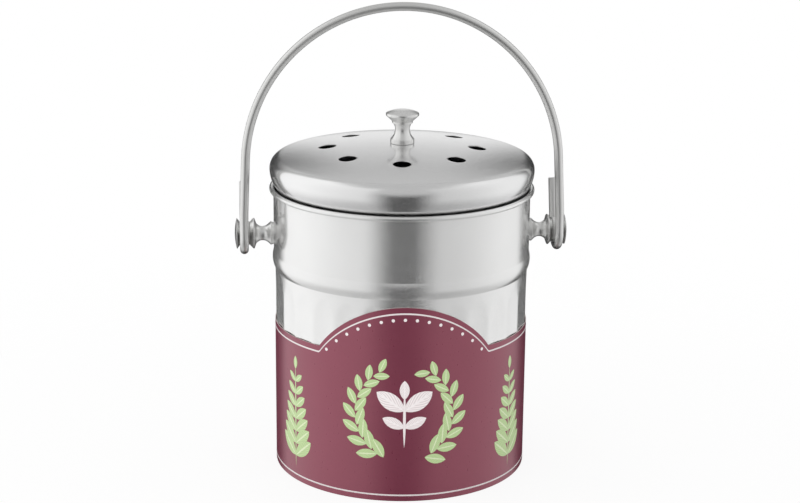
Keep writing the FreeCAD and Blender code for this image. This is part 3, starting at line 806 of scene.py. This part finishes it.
@dataclass(frozen=True)
class Sleeve:
    """Burgundy card sleeve with an arched tab in front, a glued lap behind and printed foliage."""

    inner: float = 66.25
    card: float = 0.35
    foot: float = 0.1
    edge: float = 78.4
    crown: float = 103.2
    tab_half_width: float = 42.9
    azimuth: float = -3.2
    lap: float = 14.0
    lap_columns: int = 13
    tab_columns: int = 96
    rest_columns: int = 120
    rows: int = 9
    edge_tilt: float = 0.6
    rule_columns: int = 480
    rule_inset: float = 3.2
    rule_width: float = 0.42
    dots: int = 15
    dot_spread: float = 0.9
    dot: float = 1.7
    wreath_height: float = 47.0
    wreath_radius: float = 25.5
    wreath_start: float = 20.0
    wreath_sweep: float = 134.0
    wreath_leaves: int = 8
    wreath_stagger: tuple[float, float] = (0.25, 0.75)
    wreath_lean: float = 36.0
    wreath_leaf: tuple[float, float] = (11.5, 8.0)
    leaf_slimness: float = 0.23
    seedling: float = 36.0
    frond_spread: tuple[float, ...] = (56.0, 102.0, 148.0)
    frond_foot: tuple[float, float] = (7.0, 9.0)
    frond_pairs: int = 7
    frond_pitch: float = 6.8
    frond_lean: float = 40.0
    frond_leaf: tuple[float, float] = (16.0, 7.0)
    stem: float = 0.5

    @property
    def outer(self) -> float:
        """Outer radius of the card."""
        return self.inner + self.card

    def top(self, around: np.ndarray) -> np.ndarray:
        """Height of the upper edge at angles off the sleeve's middle, in radians.

        The tab is a circle of radius a about height crown - a, seen square on: a^2 = x^2 + (z - crown + a)^2.

        Args:
            around: Angles off the sleeve's middle.

        Returns:
            Heights of the edge there.
        """
        rise = self.crown - self.edge
        arch = (self.tab_half_width**2 + rise**2) / (2 * rise)
        x = np.minimum(np.abs(self.outer * np.sin(around)), self.tab_half_width)
        tab = self.crown - arch + np.sqrt(arch**2 - x**2)
        return np.where(np.cos(around) > 0, np.maximum(tab, self.edge), self.edge)

    def corner(self) -> float:
        """Angle off the middle, in radians, at which the tab meets the straight edge."""
        return math.asin(self.tab_half_width / self.outer)

    def shell(self) -> Surface:
        """Closed card tube whose upper edge follows the tab.

        Returns:
            The tube's surface.
        """
        end = self.corner()
        tab = np.linspace(-end, end, self.tab_columns, endpoint=False)
        rest = np.linspace(end, 2 * math.pi - end, self.rest_columns, endpoint=False)
        around = np.concatenate([tab, rest])
        share = np.linspace(0, 1, self.rows)
        share = np.concatenate([share, share[::-1]])[:, None]
        heights = self.foot + (self.top(around)[None, :] - self.foot) * share
        radii = np.repeat([self.outer, self.inner], self.rows)[:, None]
        return spun(radii, heights, around + math.radians(self.azimuth), closed=True)

    def lap_strip(self) -> Surface:
        """Glued end of the card, one thickness proud of the rest, at the back.

        Returns:
            The strip's surface.
        """
        half = self.lap / 2 / self.outer
        around = math.pi + np.linspace(-half, half, self.lap_columns) + math.radians(self.azimuth)
        radii = np.array([self.outer, self.outer + self.card, self.outer + self.card, self.outer])[:, None]
        heights = np.array([self.foot, self.foot, self.edge, self.edge])[:, None]
        radius, height, angle = np.broadcast_arrays(radii, heights, around[None, :])
        points = np.stack([radius * np.sin(angle), -radius * np.cos(angle), height], axis=-1).reshape(-1, 3)
        count = len(around)
        ends = np.array([[3, 2, 1, 0]]) * count
        caps = np.concatenate([ends, ends[:, ::-1] + count - 1])
        return Surface(points, np.concatenate([grid_faces(4, count, True, False), caps]))

    def leaf_rows(self, spots: np.ndarray, headings: np.ndarray, lengths: np.ndarray) -> np.ndarray:
        """Rows of motifs from (distance round, height) feet, directions in degrees and lengths."""
        columns = [spots[:, 0], spots[:, 1], headings, lengths, lengths * self.leaf_slimness]
        return np.stack(np.broadcast_arrays(*columns), axis=1)

    def wreath(self) -> np.ndarray:
        """Leaves on both sides of two branches that rise from the foot of a ring and nearly meet above it.

        Returns:
            One row for each motif: distance round, height, direction, length and half width.
        """
        rows = []
        for side in (-1, 1):
            for lean, start in zip((-self.wreath_lean, self.wreath_lean), self.wreath_stagger):
                share = (np.arange(self.wreath_leaves) + start) / self.wreath_leaves
                bearing = -90 + side * (self.wreath_start + self.wreath_sweep * share)
                ring = np.stack([np.cos(np.radians(bearing)), np.sin(np.radians(bearing))], axis=1)
                spots = self.wreath_radius * ring + [0, self.wreath_height]
                lengths = np.interp(share, (0, 1), self.wreath_leaf)
                rows.append(self.leaf_rows(spots, bearing + side * 90 + lean, lengths))
        return np.concatenate(rows)

    def fronds(self) -> np.ndarray:
        """Upright fronds spread round the sides and the back: pairs of leaves, smaller upwards, and a tip.

        Returns:
            One row for each motif: distance round, height, direction, length and half width.
        """
        azimuths = np.array([side * spread for spread in self.frond_spread for side in (-1, 1)])
        around = np.radians(azimuths) * self.outer
        foot = np.where(np.arange(len(azimuths)) // 2 % 2 == 0, *self.frond_foot)
        sizes = np.linspace(*self.frond_leaf, self.frond_pairs)
        rows = []
        for index, size in enumerate(sizes):
            spots = np.stack([around, foot + self.frond_pitch * (index + 1)], axis=1)
            for heading in (self.frond_lean, 180 - self.frond_lean):
                rows.append(self.leaf_rows(spots, np.array(heading), np.array(size)))
        top = np.stack([around, foot + self.frond_pitch * (self.frond_pairs + 1)], axis=1)
        rows.append(self.leaf_rows(top, np.array(90.0), np.array(self.frond_leaf[1])))
        length = self.frond_pitch * (self.frond_pairs + 1.5)
        stems = np.broadcast_arrays(around, foot, 90.0, length, self.stem)
        return np.concatenate(rows + [np.stack(stems, axis=1)])

    def sprout(self) -> np.ndarray:
        """A seedling inside the wreath: a stem, two pairs of leaves and a bud, as shares of its height.

        Returns:
            One row for each motif: distance round, height, direction, length and half width.
        """
        foot = self.wreath_height - self.seedling / 2
        shares = [
            (0.00, 90.0, 0.85, 0.02),
            (0.30, 25.0, 0.34, 0.08),
            (0.30, 155.0, 0.34, 0.08),
            (0.55, 35.0, 0.48, 0.12),
            (0.55, 145.0, 0.48, 0.12),
            (0.72, 90.0, 0.28, 0.07),
        ]
        return np.array([
            (0.0, foot + rise * self.seedling, heading, length * self.seedling, half * self.seedling)
            for rise, heading, length, half in shares
        ])

    def dot_row(self) -> np.ndarray:
        """Round dots in a row under the tab's edge.

        Returns:
            One row for each motif: distance round, height, direction, length and half width.
        """
        around = np.linspace(-self.dot_spread, self.dot_spread, self.dots) * self.corner()
        height = self.top(around) - 2 * self.rule_inset
        columns = [around * self.outer - self.dot / 2, height, 0.0, self.dot, self.dot / 2]
        return np.stack(np.broadcast_arrays(*columns), axis=1)

    def rules(self) -> Surface:
        """Fine rules that follow the upper edge and the foot.

        Returns:
            The rules as one surface.
        """
        around = all_round(self.rule_columns)
        signed = (around + math.pi) % (2 * math.pi) - math.pi
        side = np.array([-1.0, 0.0, 1.0, 0.0])[:, None] * self.rule_width
        proud = np.array([0.0, Motifs.film, 0.0, 0.0])[:, None] + Motifs.lift + self.outer
        angles = around + math.radians(self.azimuth)
        upper = spun(proud, self.top(signed)[None, :] - self.rule_inset + side, angles, closed=True)
        lower = spun(proud, self.foot + self.rule_inset + side + 0 * signed, angles, closed=True)
        both = joined([upper, lower])
        return Surface(both.points, both.faces, np.zeros((len(both.points), 2)))

    def build(self) -> None:
        """Add the card, its lap and the print."""
        card = add_piece("sleeve_card", self.shell(), BURGUNDY, RAW_CARD)
        across = np.empty(len(card.data.polygons) * 3, np.float32)
        card.data.polygons.foreach_get("normal", across)
        edges = np.abs(across.reshape(-1, 3)[:, 2]) > self.edge_tilt
        card.data.polygons.foreach_set("material_index", edges.astype(np.int32))
        stand_for(card, "card_sleeve", Body.PAIL)
        leaves = Motifs(np.concatenate([self.wreath(), self.fronds()]))
        seedling = Motifs(self.sprout())
        dots = Motifs(self.dot_row(), point=0.5)
        cream = joined([seedling.surface(self.outer, self.azimuth), dots.surface(self.outer, self.azimuth),
                        self.rules()])
        prints = {
            "sleeve_lap": (self.lap_strip(), BURGUNDY),
            "sleeve_leaf_print": (leaves.surface(self.outer, self.azimuth), LEAF_INK),
            "sleeve_cream_print": (cream, CREAM_INK),
        }
        for name, (surface, finish) in prints.items():
            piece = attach(add_piece(name, surface, finish), Body.PAIL.value)
            log.info("piece %s: %d faces", name, len(piece.data.polygons))


@dataclass(frozen=True)
class Lug:
    """Waisted spool, domed pivot bolt, washer and cap nut on one side of the pail."""

    right: bool
    pivot: float = 124.7
    seat: float = 66.6
    wall: float = 67.0
    spool_end: float = 79.85
    shank_start: float = 59.5
    shank: float = 2.5
    journal: float = 6.3
    cap_face: float = 84.95
    cap_top: float = 87.3
    cap_rim: float = 86.28
    cap_radius: float = 8.0
    cap_neck: float = 6.5
    cap_edge: float = 0.2
    dome_bend: float = 32.0
    edge_bend: float = 0.25
    collar_radius: float = 5.65
    collar_flare: float = 6.15
    collar_length: float = 1.5
    waist_corner: float = 2.2
    waist_place: float = 5.9
    waist_bend: float = 4.2
    neck_radius: float = 5.2
    neck_place: float = 9.1
    flange_radius: float = 8.0
    flange_low: float = 10.1
    flange_high: float = 10.6
    face_radius: float = 5.7

    def spool(self) -> Surface:
        """Spool turned along the pivot: foot collar, round waist, flange and end face.

        Returns:
            The spool's surface, on the pivot axis.
        """
        wall = self.wall
        corners = [
            (0, self.seat, 0),
            (self.collar_radius, self.seat, 0),
            (self.collar_radius, wall, 0),
            (self.collar_flare, wall + self.collar_length, self.edge_bend),
            (self.waist_corner, wall + self.waist_place, self.waist_bend),
            (self.neck_radius, wall + self.neck_place, self.edge_bend),
            (self.flange_radius, wall + self.flange_low, self.edge_bend),
            (self.flange_radius, wall + self.flange_high, self.edge_bend),
            (self.face_radius, self.spool_end, 0),
            (0, self.spool_end, 0),
        ]
        return lathe(corners).moved(on_pivot(self.pivot, self.right))

    def bolt(self) -> Surface:
        """Bolt turned along the pivot: shank, journal under the hook and domed cap.

        Returns:
            The bolt's surface, on the pivot axis.
        """
        slope = math.asin(self.cap_radius / self.dome_bend)
        corners = [
            (0, self.shank_start, 0),
            (self.shank, self.shank_start, 0),
            (self.shank, self.spool_end, 0),
            (self.journal, self.spool_end, 0),
            (self.journal, self.cap_face, 0),
            (self.cap_neck, self.cap_face, 0),
            (self.cap_radius, self.cap_rim - self.cap_edge, self.edge_bend),
            (self.cap_radius, self.cap_rim, self.edge_bend),
            (self.dome_bend * math.tan(slope / 2), self.cap_top, self.dome_bend),
            (0, self.cap_top, 0),
        ]
        return lathe(corners).moved(on_pivot(self.pivot, self.right))

    def build(self) -> None:
        """Add the spool and the bolt, and dress the washer and the nut inside."""
        side = "right" if self.right else "left"
        spool = add_piece(f"{side}_spool_turned", self.spool(), LUG_STEEL)
        stand_for(spool, f"{side}_lug_spool", Body.PAIL)
        bolt = add_piece(f"{side}_bolt_turned", self.bolt(), LUG_STEEL)
        stand_for(bolt, f"{side}_pivot_bolt", Body.PAIL)
        dress_node(f"{side}_lug_washer", SILICONE)
        dress_node(f"{side}_cap_nut", FASTENER_STEEL)


@dataclass(frozen=True)
class Bail:
    """Carrying handle bent from one rod, with a J hook under each journal."""

    rod_radius: float = 2.25
    rise: float = 117.9
    reach: float = 82.4
    splay: float = 1.1
    pivot: float = 124.7
    hook_bend: float = 8.65
    leg_bend_rise: float = 11.0
    leg_bend: float = 40.0
    tail_rise: float = 25.0
    tail_lean: float = 14.0
    end_bevel: float = 0.3
    columns: int = 40

    def path(self) -> tuple[np.ndarray, np.ndarray]:
        """Middle line of the rod and its direction, leaned back until the arch stands over the pivot.

        Returns:
            Points along the rod, and the direction at each.
        """
        arch = self.reach - self.splay
        to_arch = self.rise - arch - self.leg_bend_rise
        splay = math.acos(arch / math.hypot(self.reach, to_arch)) - math.atan2(to_arch, self.reach)
        shoulder = arch * math.tan((math.pi / 2 - splay) / 2)
        lean = math.radians(self.tail_lean)
        bend = self.hook_bend
        back = bend * math.tan((math.pi / 2 - lean) / 2)
        tail = back + (self.tail_rise + bend) * math.tan(lean)
        half = [
            (self.reach, tail, self.tail_rise, 0),
            (self.reach, back, -bend, bend),
            (self.reach, -bend, -bend, bend),
            (self.reach, -bend, self.leg_bend_rise, self.leg_bend),
            (shoulder, -bend, self.rise, arch),
        ]
        other = [(-x, y, z, bend) for x, y, z, bend in reversed(half)]
        stations, heading = rounded(half + other, spacing=2.0)
        turn = np.array(Matrix.Rotation(-math.atan2(bend, self.rise), 3, "X"))
        return stations @ turn.T + [0, 0, self.pivot], heading @ turn.T

    def surface(self) -> Surface:
        """Round rod with bevelled flat ends.

        Returns:
            The rod's surface.
        """
        stations, heading = self.path()
        first, last = heading[0] * self.end_bevel, heading[-1] * self.end_bevel
        ends = [stations[:1]] * 2 + [stations[:1] + first]
        tails = [stations[-1:] - last] + [stations[-1:]] * 2
        line = np.concatenate(ends + [stations[1:-1]] + tails)
        ways = np.concatenate([heading[:1]] * 3 + [heading[1:-1]] + [heading[-1:]] * 3)
        radii = np.full(len(line), self.rod_radius)
        radii[[1, -2]] -= self.end_bevel
        radii[[0, -1]] = 0
        return rod(line, ways, radii, self.columns)

    def build(self) -> None:
        """Add the rod."""
        piece = add_piece("bail_rod", self.surface(), HANDLE_STEEL)
        stand_for(piece, "handle", Body.BAIL)


@dataclass(frozen=True)
class Knob:
    """Turned knob on the middle of the lid, with heights above the lid's crown."""

    base: float = 6.2
    base_height: float = 2.4
    base_bend: float = 0.3
    stem: float = 5.9
    waist_corner: float = 2.4
    waist_height: float = 7.1
    waist_bend: float = 5.5
    neck: float = 5.0
    ring: float = 5.35
    ring_low: float = 10.6
    ring_high: float = 11.3
    neck_bend: float = 0.1
    ring_bend: float = 0.12
    head: float = 8.6
    head_low: float = 14.6
    head_high: float = 15.8
    head_bend: float = 0.55
    top: float = 17.6
    top_bend: float = 16.0

    def surface(self, seat: float) -> Surface:
        """Round base, waisted neck, ring and domed head.

        Args:
            seat: Height of the lid's crown, which it stands on.

        Returns:
            The knob's surface.
        """
        slope = math.asin((self.head - self.head_bend) / self.top_bend)
        corners = [
            (0, 0, 0),
            (self.base, 0, self.base_bend),
            (self.base, self.base_height, self.base_bend),
            (self.stem, self.base_height, 0),
            (self.waist_corner, self.waist_height, self.waist_bend),
            (self.neck, self.ring_low, self.neck_bend),
            (self.ring, self.ring_low, self.ring_bend),
            (self.ring, self.ring_high, self.ring_bend),
            (self.neck, self.ring_high, self.neck_bend),
            (self.head, self.head_low, self.head_bend),
            (self.head, self.head_high, self.head_bend),
            (self.top_bend * math.tan(slope / 2), self.top, self.top_bend),
            (0, self.top, 0),
        ]
        return lathe(corners).moved(Matrix.Translation((0, 0, seat)))


@dataclass(frozen=True)
class Lid:
    """Domed lid with a ring of vents, its knob, and the plug ring and seal below it."""

    sheet: float = 0.6
    crown: float = 172.1
    radius: float = 68.9
    dome_rise: float = 6.3
    shoulder: float = 6.6
    tuck_bend: float = 16.0
    tuck_lead: float = 0.7
    collar: float = 63.45
    collar_low: float = 145.0
    collar_bend: float = 0.6
    azimuth: float = -5.2
    vents: int = 8
    vent_ring: float = 39.0
    vent_radius: float = 4.6
    band_half: float = 8.5
    stud_hole: float = 2.6
    cell_columns: int = 20
    cell_sides: int = 10
    cell_steps: tuple[float, ...] = (0.0, 0.12, 0.3, 0.55, 0.8, 1.0)
    middle_rows: int = 12
    band_clear: float = 0.5
    edge_bevel: float = 0.22
    bevel_from: float = 50.0
    plug: float = 62.85
    plug_lap: float = 2.5
    flange_top: float = 136.6
    flange: float = 1.6
    seal_tip: float = 66.2
    flange_bend: float = 0.4
    seal_body: float = 1.7
    seal_gap: float = 0.4
    fins: int = 3
    fin_root: float = 1.6
    fin_bend: float = 0.2
    root_bend: float = 0.3
    tip_bend: float = 0.12

    @property
    def dome_bend(self) -> float:
        """Radius of the dome."""
        reach = self.radius - self.shoulder
        return self.shoulder + (reach**2 + self.dome_rise**2) / (2 * self.dome_rise)

    def dome(self, radius: np.ndarray) -> np.ndarray:
        """Height of the dome at distances from the axis."""
        return self.crown - self.dome_bend + np.sqrt(self.dome_bend**2 - radius**2)

    def side_path(self) -> np.ndarray:
        """(radius, height) points up the outside, from the collar to the vents' band.

        Returns:
            The points, from the foot upwards.
        """
        bend = self.dome_bend
        slope = math.asin((self.radius - self.shoulder) / (bend - self.shoulder))
        widest = self.crown - self.dome_rise - self.shoulder
        tuck = math.acos(1 - (self.radius - self.collar - self.tuck_lead) / self.tuck_bend)
        collar_top = widest - self.tuck_bend * math.sin(tuck) - self.tuck_lead / math.tan(tuck)
        corners = [
            (self.collar, self.collar_low, 0),
            (self.collar, collar_top, self.collar_bend),
            (self.radius, widest - self.tuck_bend * math.tan(tuck / 2), self.tuck_bend),
            (self.radius, widest + self.shoulder * math.tan((math.pi / 2 - slope) / 2), self.shoulder),
            (bend * math.tan(slope / 2), self.crown, bend),
            (0, self.crown, 0),
        ]
        path, _ = rounded(corners, turn_step=5.0, spacing=1.5)
        band = self.vent_ring + self.band_half
        on_side = (path[:, 0] > band + self.band_clear) | (path[:, 1] < widest)
        return np.concatenate([path[on_side], [[band, self.dome(np.array(band))]]])

    def vent_cells(self) -> Surface:
        """Band of the dome with its round vents, one cell for each, from its edge to the cell's border.

        Along the ray from the vent's centre C to a border point B, the points are
        C + (B - C) / |B - C| (h + w (|B - C| - h)) for w from 0 to 1, laid on the dome.

        Returns:
            The band's surface.
        """
        half = math.pi / self.vents
        low, high = self.vent_ring - self.band_half, self.vent_ring + self.band_half
        arc = np.linspace(-half, half, self.cell_columns, endpoint=False)
        side = np.linspace(low, high, self.cell_sides, endpoint=False)
        angle = np.concatenate([arc, np.full(self.cell_sides, half), -arc, np.full(self.cell_sides, -half)])
        reach = np.concatenate([np.full(self.cell_columns, low), side, np.full(self.cell_columns, high),
                                (low + high) - side])
        border = np.stack([reach * np.sin(angle), -reach * np.cos(angle)], axis=1)
        centre = np.array([0, -self.vent_ring])
        ray = border - centre
        span = np.linalg.norm(ray, axis=1)
        share = np.array(self.cell_steps)[:, None]
        out = self.vent_radius + share * (span - self.vent_radius)
        flat = centre + out[:, :, None] * (ray / span[:, None])[None]
        height = self.dome(np.linalg.norm(flat, axis=2))
        cell = np.concatenate([flat, height[:, :, None]], axis=2).reshape(-1, 3)
        faces = grid_faces(len(share), len(border), False, True)
        angles = [math.radians(self.azimuth) + 2 * half * index for index in range(self.vents)]
        return joined([Surface(cell, faces).moved(Matrix.Rotation(angle, 4, "Z")) for angle in angles])

    def skin(self) -> Surface:
        """Outer face of the lid, up its side, over the vents and in to the stud hole.

        Returns:
            The outer face as one surface.
        """
        start = self.azimuth - 180 / self.vents
        angles = all_round(self.vents * self.cell_columns, start)
        side = self.side_path()
        inner = np.linspace(self.vent_ring - self.band_half, self.stud_hole, self.middle_rows)[:, None]
        return joined([
            spun(side[:, :1], side[:, 1:], angles),
            self.vent_cells(),
            spun(inner, self.dome(inner), angles),
        ])

    def plug_ring(self) -> Surface:
        """Ring lapped inside the collar, flanged out below the seal.

        Returns:
            The ring's surface.
        """
        corners = [
            (self.plug, self.collar_low + self.plug_lap, 0),
            (self.plug, self.flange_top, self.flange_bend),
            (self.plug + self.flange, self.flange_top, 0),
        ]
        loop, _ = sheet_loop(corners, self.sheet)
        return spun(loop[::-1, :1], loop[::-1, 1:], all_round(RING_COLUMNS), closed=True)

    def seal(self) -> Surface:
        """Silicone ring whose fins lean up towards the pail's wall.

        Returns:
            The seal's surface.
        """
        low = self.flange_top + self.seal_gap
        body = self.plug + self.seal_body
        pitch = (self.collar_low - low) / self.fins
        corners = [(self.plug, low, 0), (body, low, self.fin_bend)]
        for index in range(self.fins):
            top = low + pitch * (index + 1)
            corners += [
                (body, top - self.fin_root, self.root_bend),
                (self.seal_tip, top, self.tip_bend),
                (body, top, self.fin_bend),
            ]
        corners += [(self.plug, self.collar_low, 0)]
        path, _ = rounded(corners)
        return spun(path[:, :1], path[:, 1:], all_round(RING_COLUMNS), closed=True)

    def build(self) -> None:
        """Add the lid's pieces, and dress the fasteners under it."""
        shell = add_piece("lid_shell", self.skin(), LID_STEEL)
        sheet = shell.modifiers.new("sheet", "SOLIDIFY")
        sheet.thickness = self.sheet * MM
        sheet.offset = -1
        sheet.use_even_offset = True
        bevel = shell.modifiers.new("edges", "BEVEL")
        bevel.width = self.edge_bevel * MM
        bevel.segments = 2
        bevel.limit_method = "ANGLE"
        bevel.angle_limit = math.radians(self.bevel_from)
        stand_for(shell, "lid_dome", Body.LID)
        knob = add_piece("knob_turned", Knob().surface(self.crown), KNOB_STEEL)
        stand_for(knob, "knob", Body.LID)
        ring = add_piece("plug_ring_steel", self.plug_ring(), LID_STEEL)
        stand_for(ring, "lid_plug_ring", Body.LID)
        seal = add_piece("seal_fins", self.seal(), SILICONE)
        stand_for(seal, "lid_seal", Body.LID)
        for node in ("knob_stud", "stud_washer", "stud_nut"):
            dress_node(node, FASTENER_STEEL)


@dataclass(frozen=True)
class FilterSet:
    """Carbon foam disc in its perforated pan, held up by a thumb nut."""

    radius: float = 56.75
    hole: float = 5.52
    low: float = 156.59
    high: float = 164.59
    edge_bend: float = 1.4
    ripple: float = 0.12
    wave_orders: tuple[int, int, int] = (9, 41, 4)
    wave_slant: float = 0.9
    columns: int = 240
    seed: int = 4461

    def disc(self) -> Surface:
        """Soft disc: a rounded ring section, drawn in a little by smooth waves of random phase.

        Returns:
            The disc's surface.
        """
        corners = [
            (self.hole, self.low, 0),
            (self.radius, self.low, self.edge_bend),
            (self.radius, self.high, self.edge_bend),
            (self.hole, self.high, self.edge_bend),
            (self.hole, self.low, 0),
        ]
        path, heading = rounded(corners, spacing=1.5)
        path, heading = path[:-1], heading[:-1]
        angles = all_round(self.columns)
        random = np.random.default_rng(self.seed)
        orders = np.arange(*self.wave_orders)
        phases = random.uniform(0, 2 * math.pi, (len(orders), 1, 1))
        along = np.cumsum(np.linalg.norm(np.diff(path, axis=0, prepend=path[:1]), axis=1))[None, :, None]
        waves = np.sin(orders[:, None, None] * angles[None, None, :] + self.wave_slant * along + phases)
        depth = self.ripple * (0.5 + waves.mean(axis=0))
        radii = path[:, :1] - depth * heading[:, 1:]
        heights = path[:, 1:] + depth * heading[:, :1]
        return spun(radii, heights, angles, closed=True)

    def build(self) -> None:
        """Add the disc, and dress the pan and the nut."""
        disc = add_piece("carbon_foam_disc", self.disc(), FOAM)
        stand_for(disc, "carbon_filter", Body.FILTER)
        dress_node("filter_pan", FASTENER_STEEL)
        dress_node("thumb_nut", FASTENER_STEEL)


@dataclass(frozen=True)
class Panel:
    """A soft light panel beside the table, by degrees of azimuth from the front.

    It brightens over its rise to near, goes on to far at its crest, and darkens over its fall.
    """

    rise: tuple[float, float]
    crest: float
    fall: tuple[float, float]
    near: float
    far: float


@dataclass(frozen=True)
class Studio:
    """White sweep, soft panels at both sides and above, and the camera that took the photograph."""

    place: tuple[float, float, float] = (-0.08492, -0.92831, 0.37527)
    heading: float = 5.185
    pitch: float = 15.687
    roll: float = 0.514
    lens: float = 82.61
    sensor: float = 36.0
    fill: tuple[float, float] = (1.3, 0.8)
    left: Panel = Panel((2.0, 36.0), 105.0, (127.0, 142.0), 0.87, 1.09)
    right: Panel = Panel((4.0, 38.0), 110.0, (126.0, 142.0), 0.69, 0.96)
    back: Panel = Panel((168.0, 176.0), 180.0, (181.0, 182.0), 0.95, 0.95)
    back_foot: tuple[float, float] = (-0.2, -0.02)
    back_rise: tuple[float, float] = (0.02, 0.6)
    back_high: float = 0.5
    aisle: tuple[float, float] = (0.075, 0.55)
    aisle_rise: tuple[float, float] = (-0.25, 0.6)
    aisle_end: tuple[float, float] = (70.0, 120.0)
    rear: tuple[float, float] = (0.02, 0.6)
    rear_rise: tuple[float, float] = (0.2, 0.6)
    side_foot: float = 0.62
    side_rise: tuple[float, float] = (-0.75, -0.3)
    overhead: float = 0.55
    overhead_rise: tuple[float, float] = (0.8, 0.98)
    floor_radius: float = 0.5
    floor_fade: tuple[float, float] = (0.2, 0.49)
    floor_rings: int = 12
    floor_columns: int = 64
    floor_grain: float = 300.0
    floor_spread: float = 0.01
    floor_tone: float = 0.9
    floor_glow: float = 0.88

    def camera(self) -> None:
        """Set up the camera, rolled a little about its own view."""
        lens = bpy.data.cameras.new("camera")
        lens.lens = self.lens
        lens.sensor_width = self.sensor
        turn = Matrix.Rotation(math.radians(-self.heading), 4, "Z")
        turn @= Matrix.Rotation(math.radians(90 - self.pitch), 4, "X")
        turn @= Matrix.Rotation(math.radians(self.roll), 4, "Z")
        camera = bpy.data.objects.new("camera", lens)
        camera.matrix_world = Matrix.Translation(self.place) @ turn
        bpy.context.scene.collection.objects.link(camera)
        bpy.context.scene.camera = camera

    def surround(self) -> None:
        """White to the camera, a soft fill for matt surfaces, and panels for glossy ones to mirror."""
        world = bpy.data.worlds.new("studio")
        world.use_nodes = True
        bpy.context.scene.world = world
        board = Board(world.node_tree)
        way = board.add("TexCoord").outputs["Generated"]
        turn = {"Vector": way, "Rotation": (0.0, 0.0, math.radians(self.heading))}
        part = board.add("SeparateXYZ", {0: board.add("Mapping", turn, vector_type="POINT").outputs[0]})
        x, y, z = part.outputs
        azimuth = board.math("ABSOLUTE", board.math("ARCTAN2", x, board.math("MULTIPLY", y, -1.0)))

        def window(panel: Panel) -> Socket:
            """Brightness of a panel at the direction's azimuth.

            Args:
                panel: The panel.

            Returns:
                Its brightness in that direction.
            """
            start, full = (math.radians(angle) for angle in panel.rise)
            rise = board.ramp(azimuth, start, full, 0.0, panel.near)
            more = board.ramp(azimuth, full, math.radians(panel.crest), 0.0, panel.far - panel.near)
            fall = board.ramp(azimuth, *(math.radians(angle) for angle in panel.fall), 1.0, 0.0)
            return board.math("MULTIPLY", board.math("ADD", rise, more), fall)

        def blend(first: Socket | float, second: Socket | float, share: Socket) -> Socket:
            """Value between two others."""
            kept = board.math("MULTIPLY", first, board.math("SUBTRACT", 1.0, share))
            return board.math("ADD", kept, board.math("MULTIPLY", second, share))

        sides = blend(window(self.left), window(self.right), board.math("GREATER_THAN", x, 0.0))
        sides = board.math("MULTIPLY", sides, board.ramp(z, *self.side_rise, self.side_foot, 1.0))
        aisle = board.ramp(z, *self.aisle_rise, *self.aisle)
        rear = board.ramp(z, *self.rear_rise, *self.rear)
        behind = board.ramp(azimuth, *(math.radians(angle) for angle in self.aisle_end), 0.0, 1.0)
        between = blend(aisle, rear, behind)
        back = board.math("MULTIPLY", window(self.back), board.ramp(z, *self.back_rise, 1.0, self.back_high))
        back = board.math("MULTIPLY", back, board.ramp(z, *self.back_foot, 0.0, 1.0))
        low = board.math("MAXIMUM", board.math("MAXIMUM", sides, back), between)
        glow = blend(low, self.overhead, board.ramp(z, *self.overhead_rise, 0.0, 1.0))
        path = board.add("LightPath")
        lit = blend(board.ramp(x, -1.0, 1.0, *self.fill), glow, path.outputs["Is Glossy Ray"])
        strength = blend(lit, 1.0, path.outputs["Is Camera Ray"])
        light = board.add("Background", {"Color": (1.0, 1.0, 1.0, 1.0), "Strength": strength})
        board.add("OutputWorld", {0: light.outputs[0]})
        world.cycles.sampling_method = "NONE"

    def floor(self) -> None:
        """Round white table that fades into the white surround and keeps the bin's shadow."""
        reach = np.linspace(0, self.floor_radius, self.floor_rings)[::-1, None] / MM
        table = add_piece("table", spun(reach, 0 * reach, all_round(self.floor_columns)))
        material = bpy.data.materials.new("white_table")
        material.use_nodes = True
        board = Board(material.node_tree)
        spot = board.add("TexCoord").outputs["Object"]
        distance = board.add("VectorMath", {0: spot}, operation="LENGTH").outputs["Value"]
        clear = board.ramp(distance, *self.floor_fade, 0.0, 1.0)
        paper = board.noise(spot, self.floor_grain)
        darker = self.floor_tone * (1 - self.floor_spread)
        tone = board.mix(paper, (self.floor_tone,) * 3, (darker,) * 3)
        matt = board.add("BsdfDiffuse", {0: tone})
        glow = board.add("Emission", {0: (1.0, 1.0, 1.0, 1.0), 1: 1.0})
        path = board.add("LightPath")
        lit = board.math("MULTIPLY", path.outputs["Is Camera Ray"], self.floor_glow)
        body = board.add("MixShader", {0: lit, 1: matt.outputs[0], 2: glow.outputs[0]})
        gone = board.add("BsdfTransparent")
        faded = board.add("MixShader", {0: clear, 1: body.outputs[0], 2: gone.outputs[0]})
        board.add("OutputMaterial", {0: faded.outputs[0]})
        table.data.materials.append(material)
        table.visible_glossy = False

    def build(self) -> None:
        """Set up camera, surround and floor, with colours written out as they are."""
        self.camera()
        self.surround()
        self.floor()
        bpy.context.scene.view_settings.view_transform = "Standard"
        log.info("studio is set")


def main() -> None:
    """Build every piece over the frame."""
    logging.basicConfig(level=logging.INFO, format="%(message)s")
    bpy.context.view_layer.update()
    assemblies = [Pail(), Sleeve(), Lug(right=False), Lug(right=True), Bail(), Lid(), FilterSet(), Studio()]
    for assembly in assemblies:
        assembly.build()


if __name__ == "__main__":
    main()
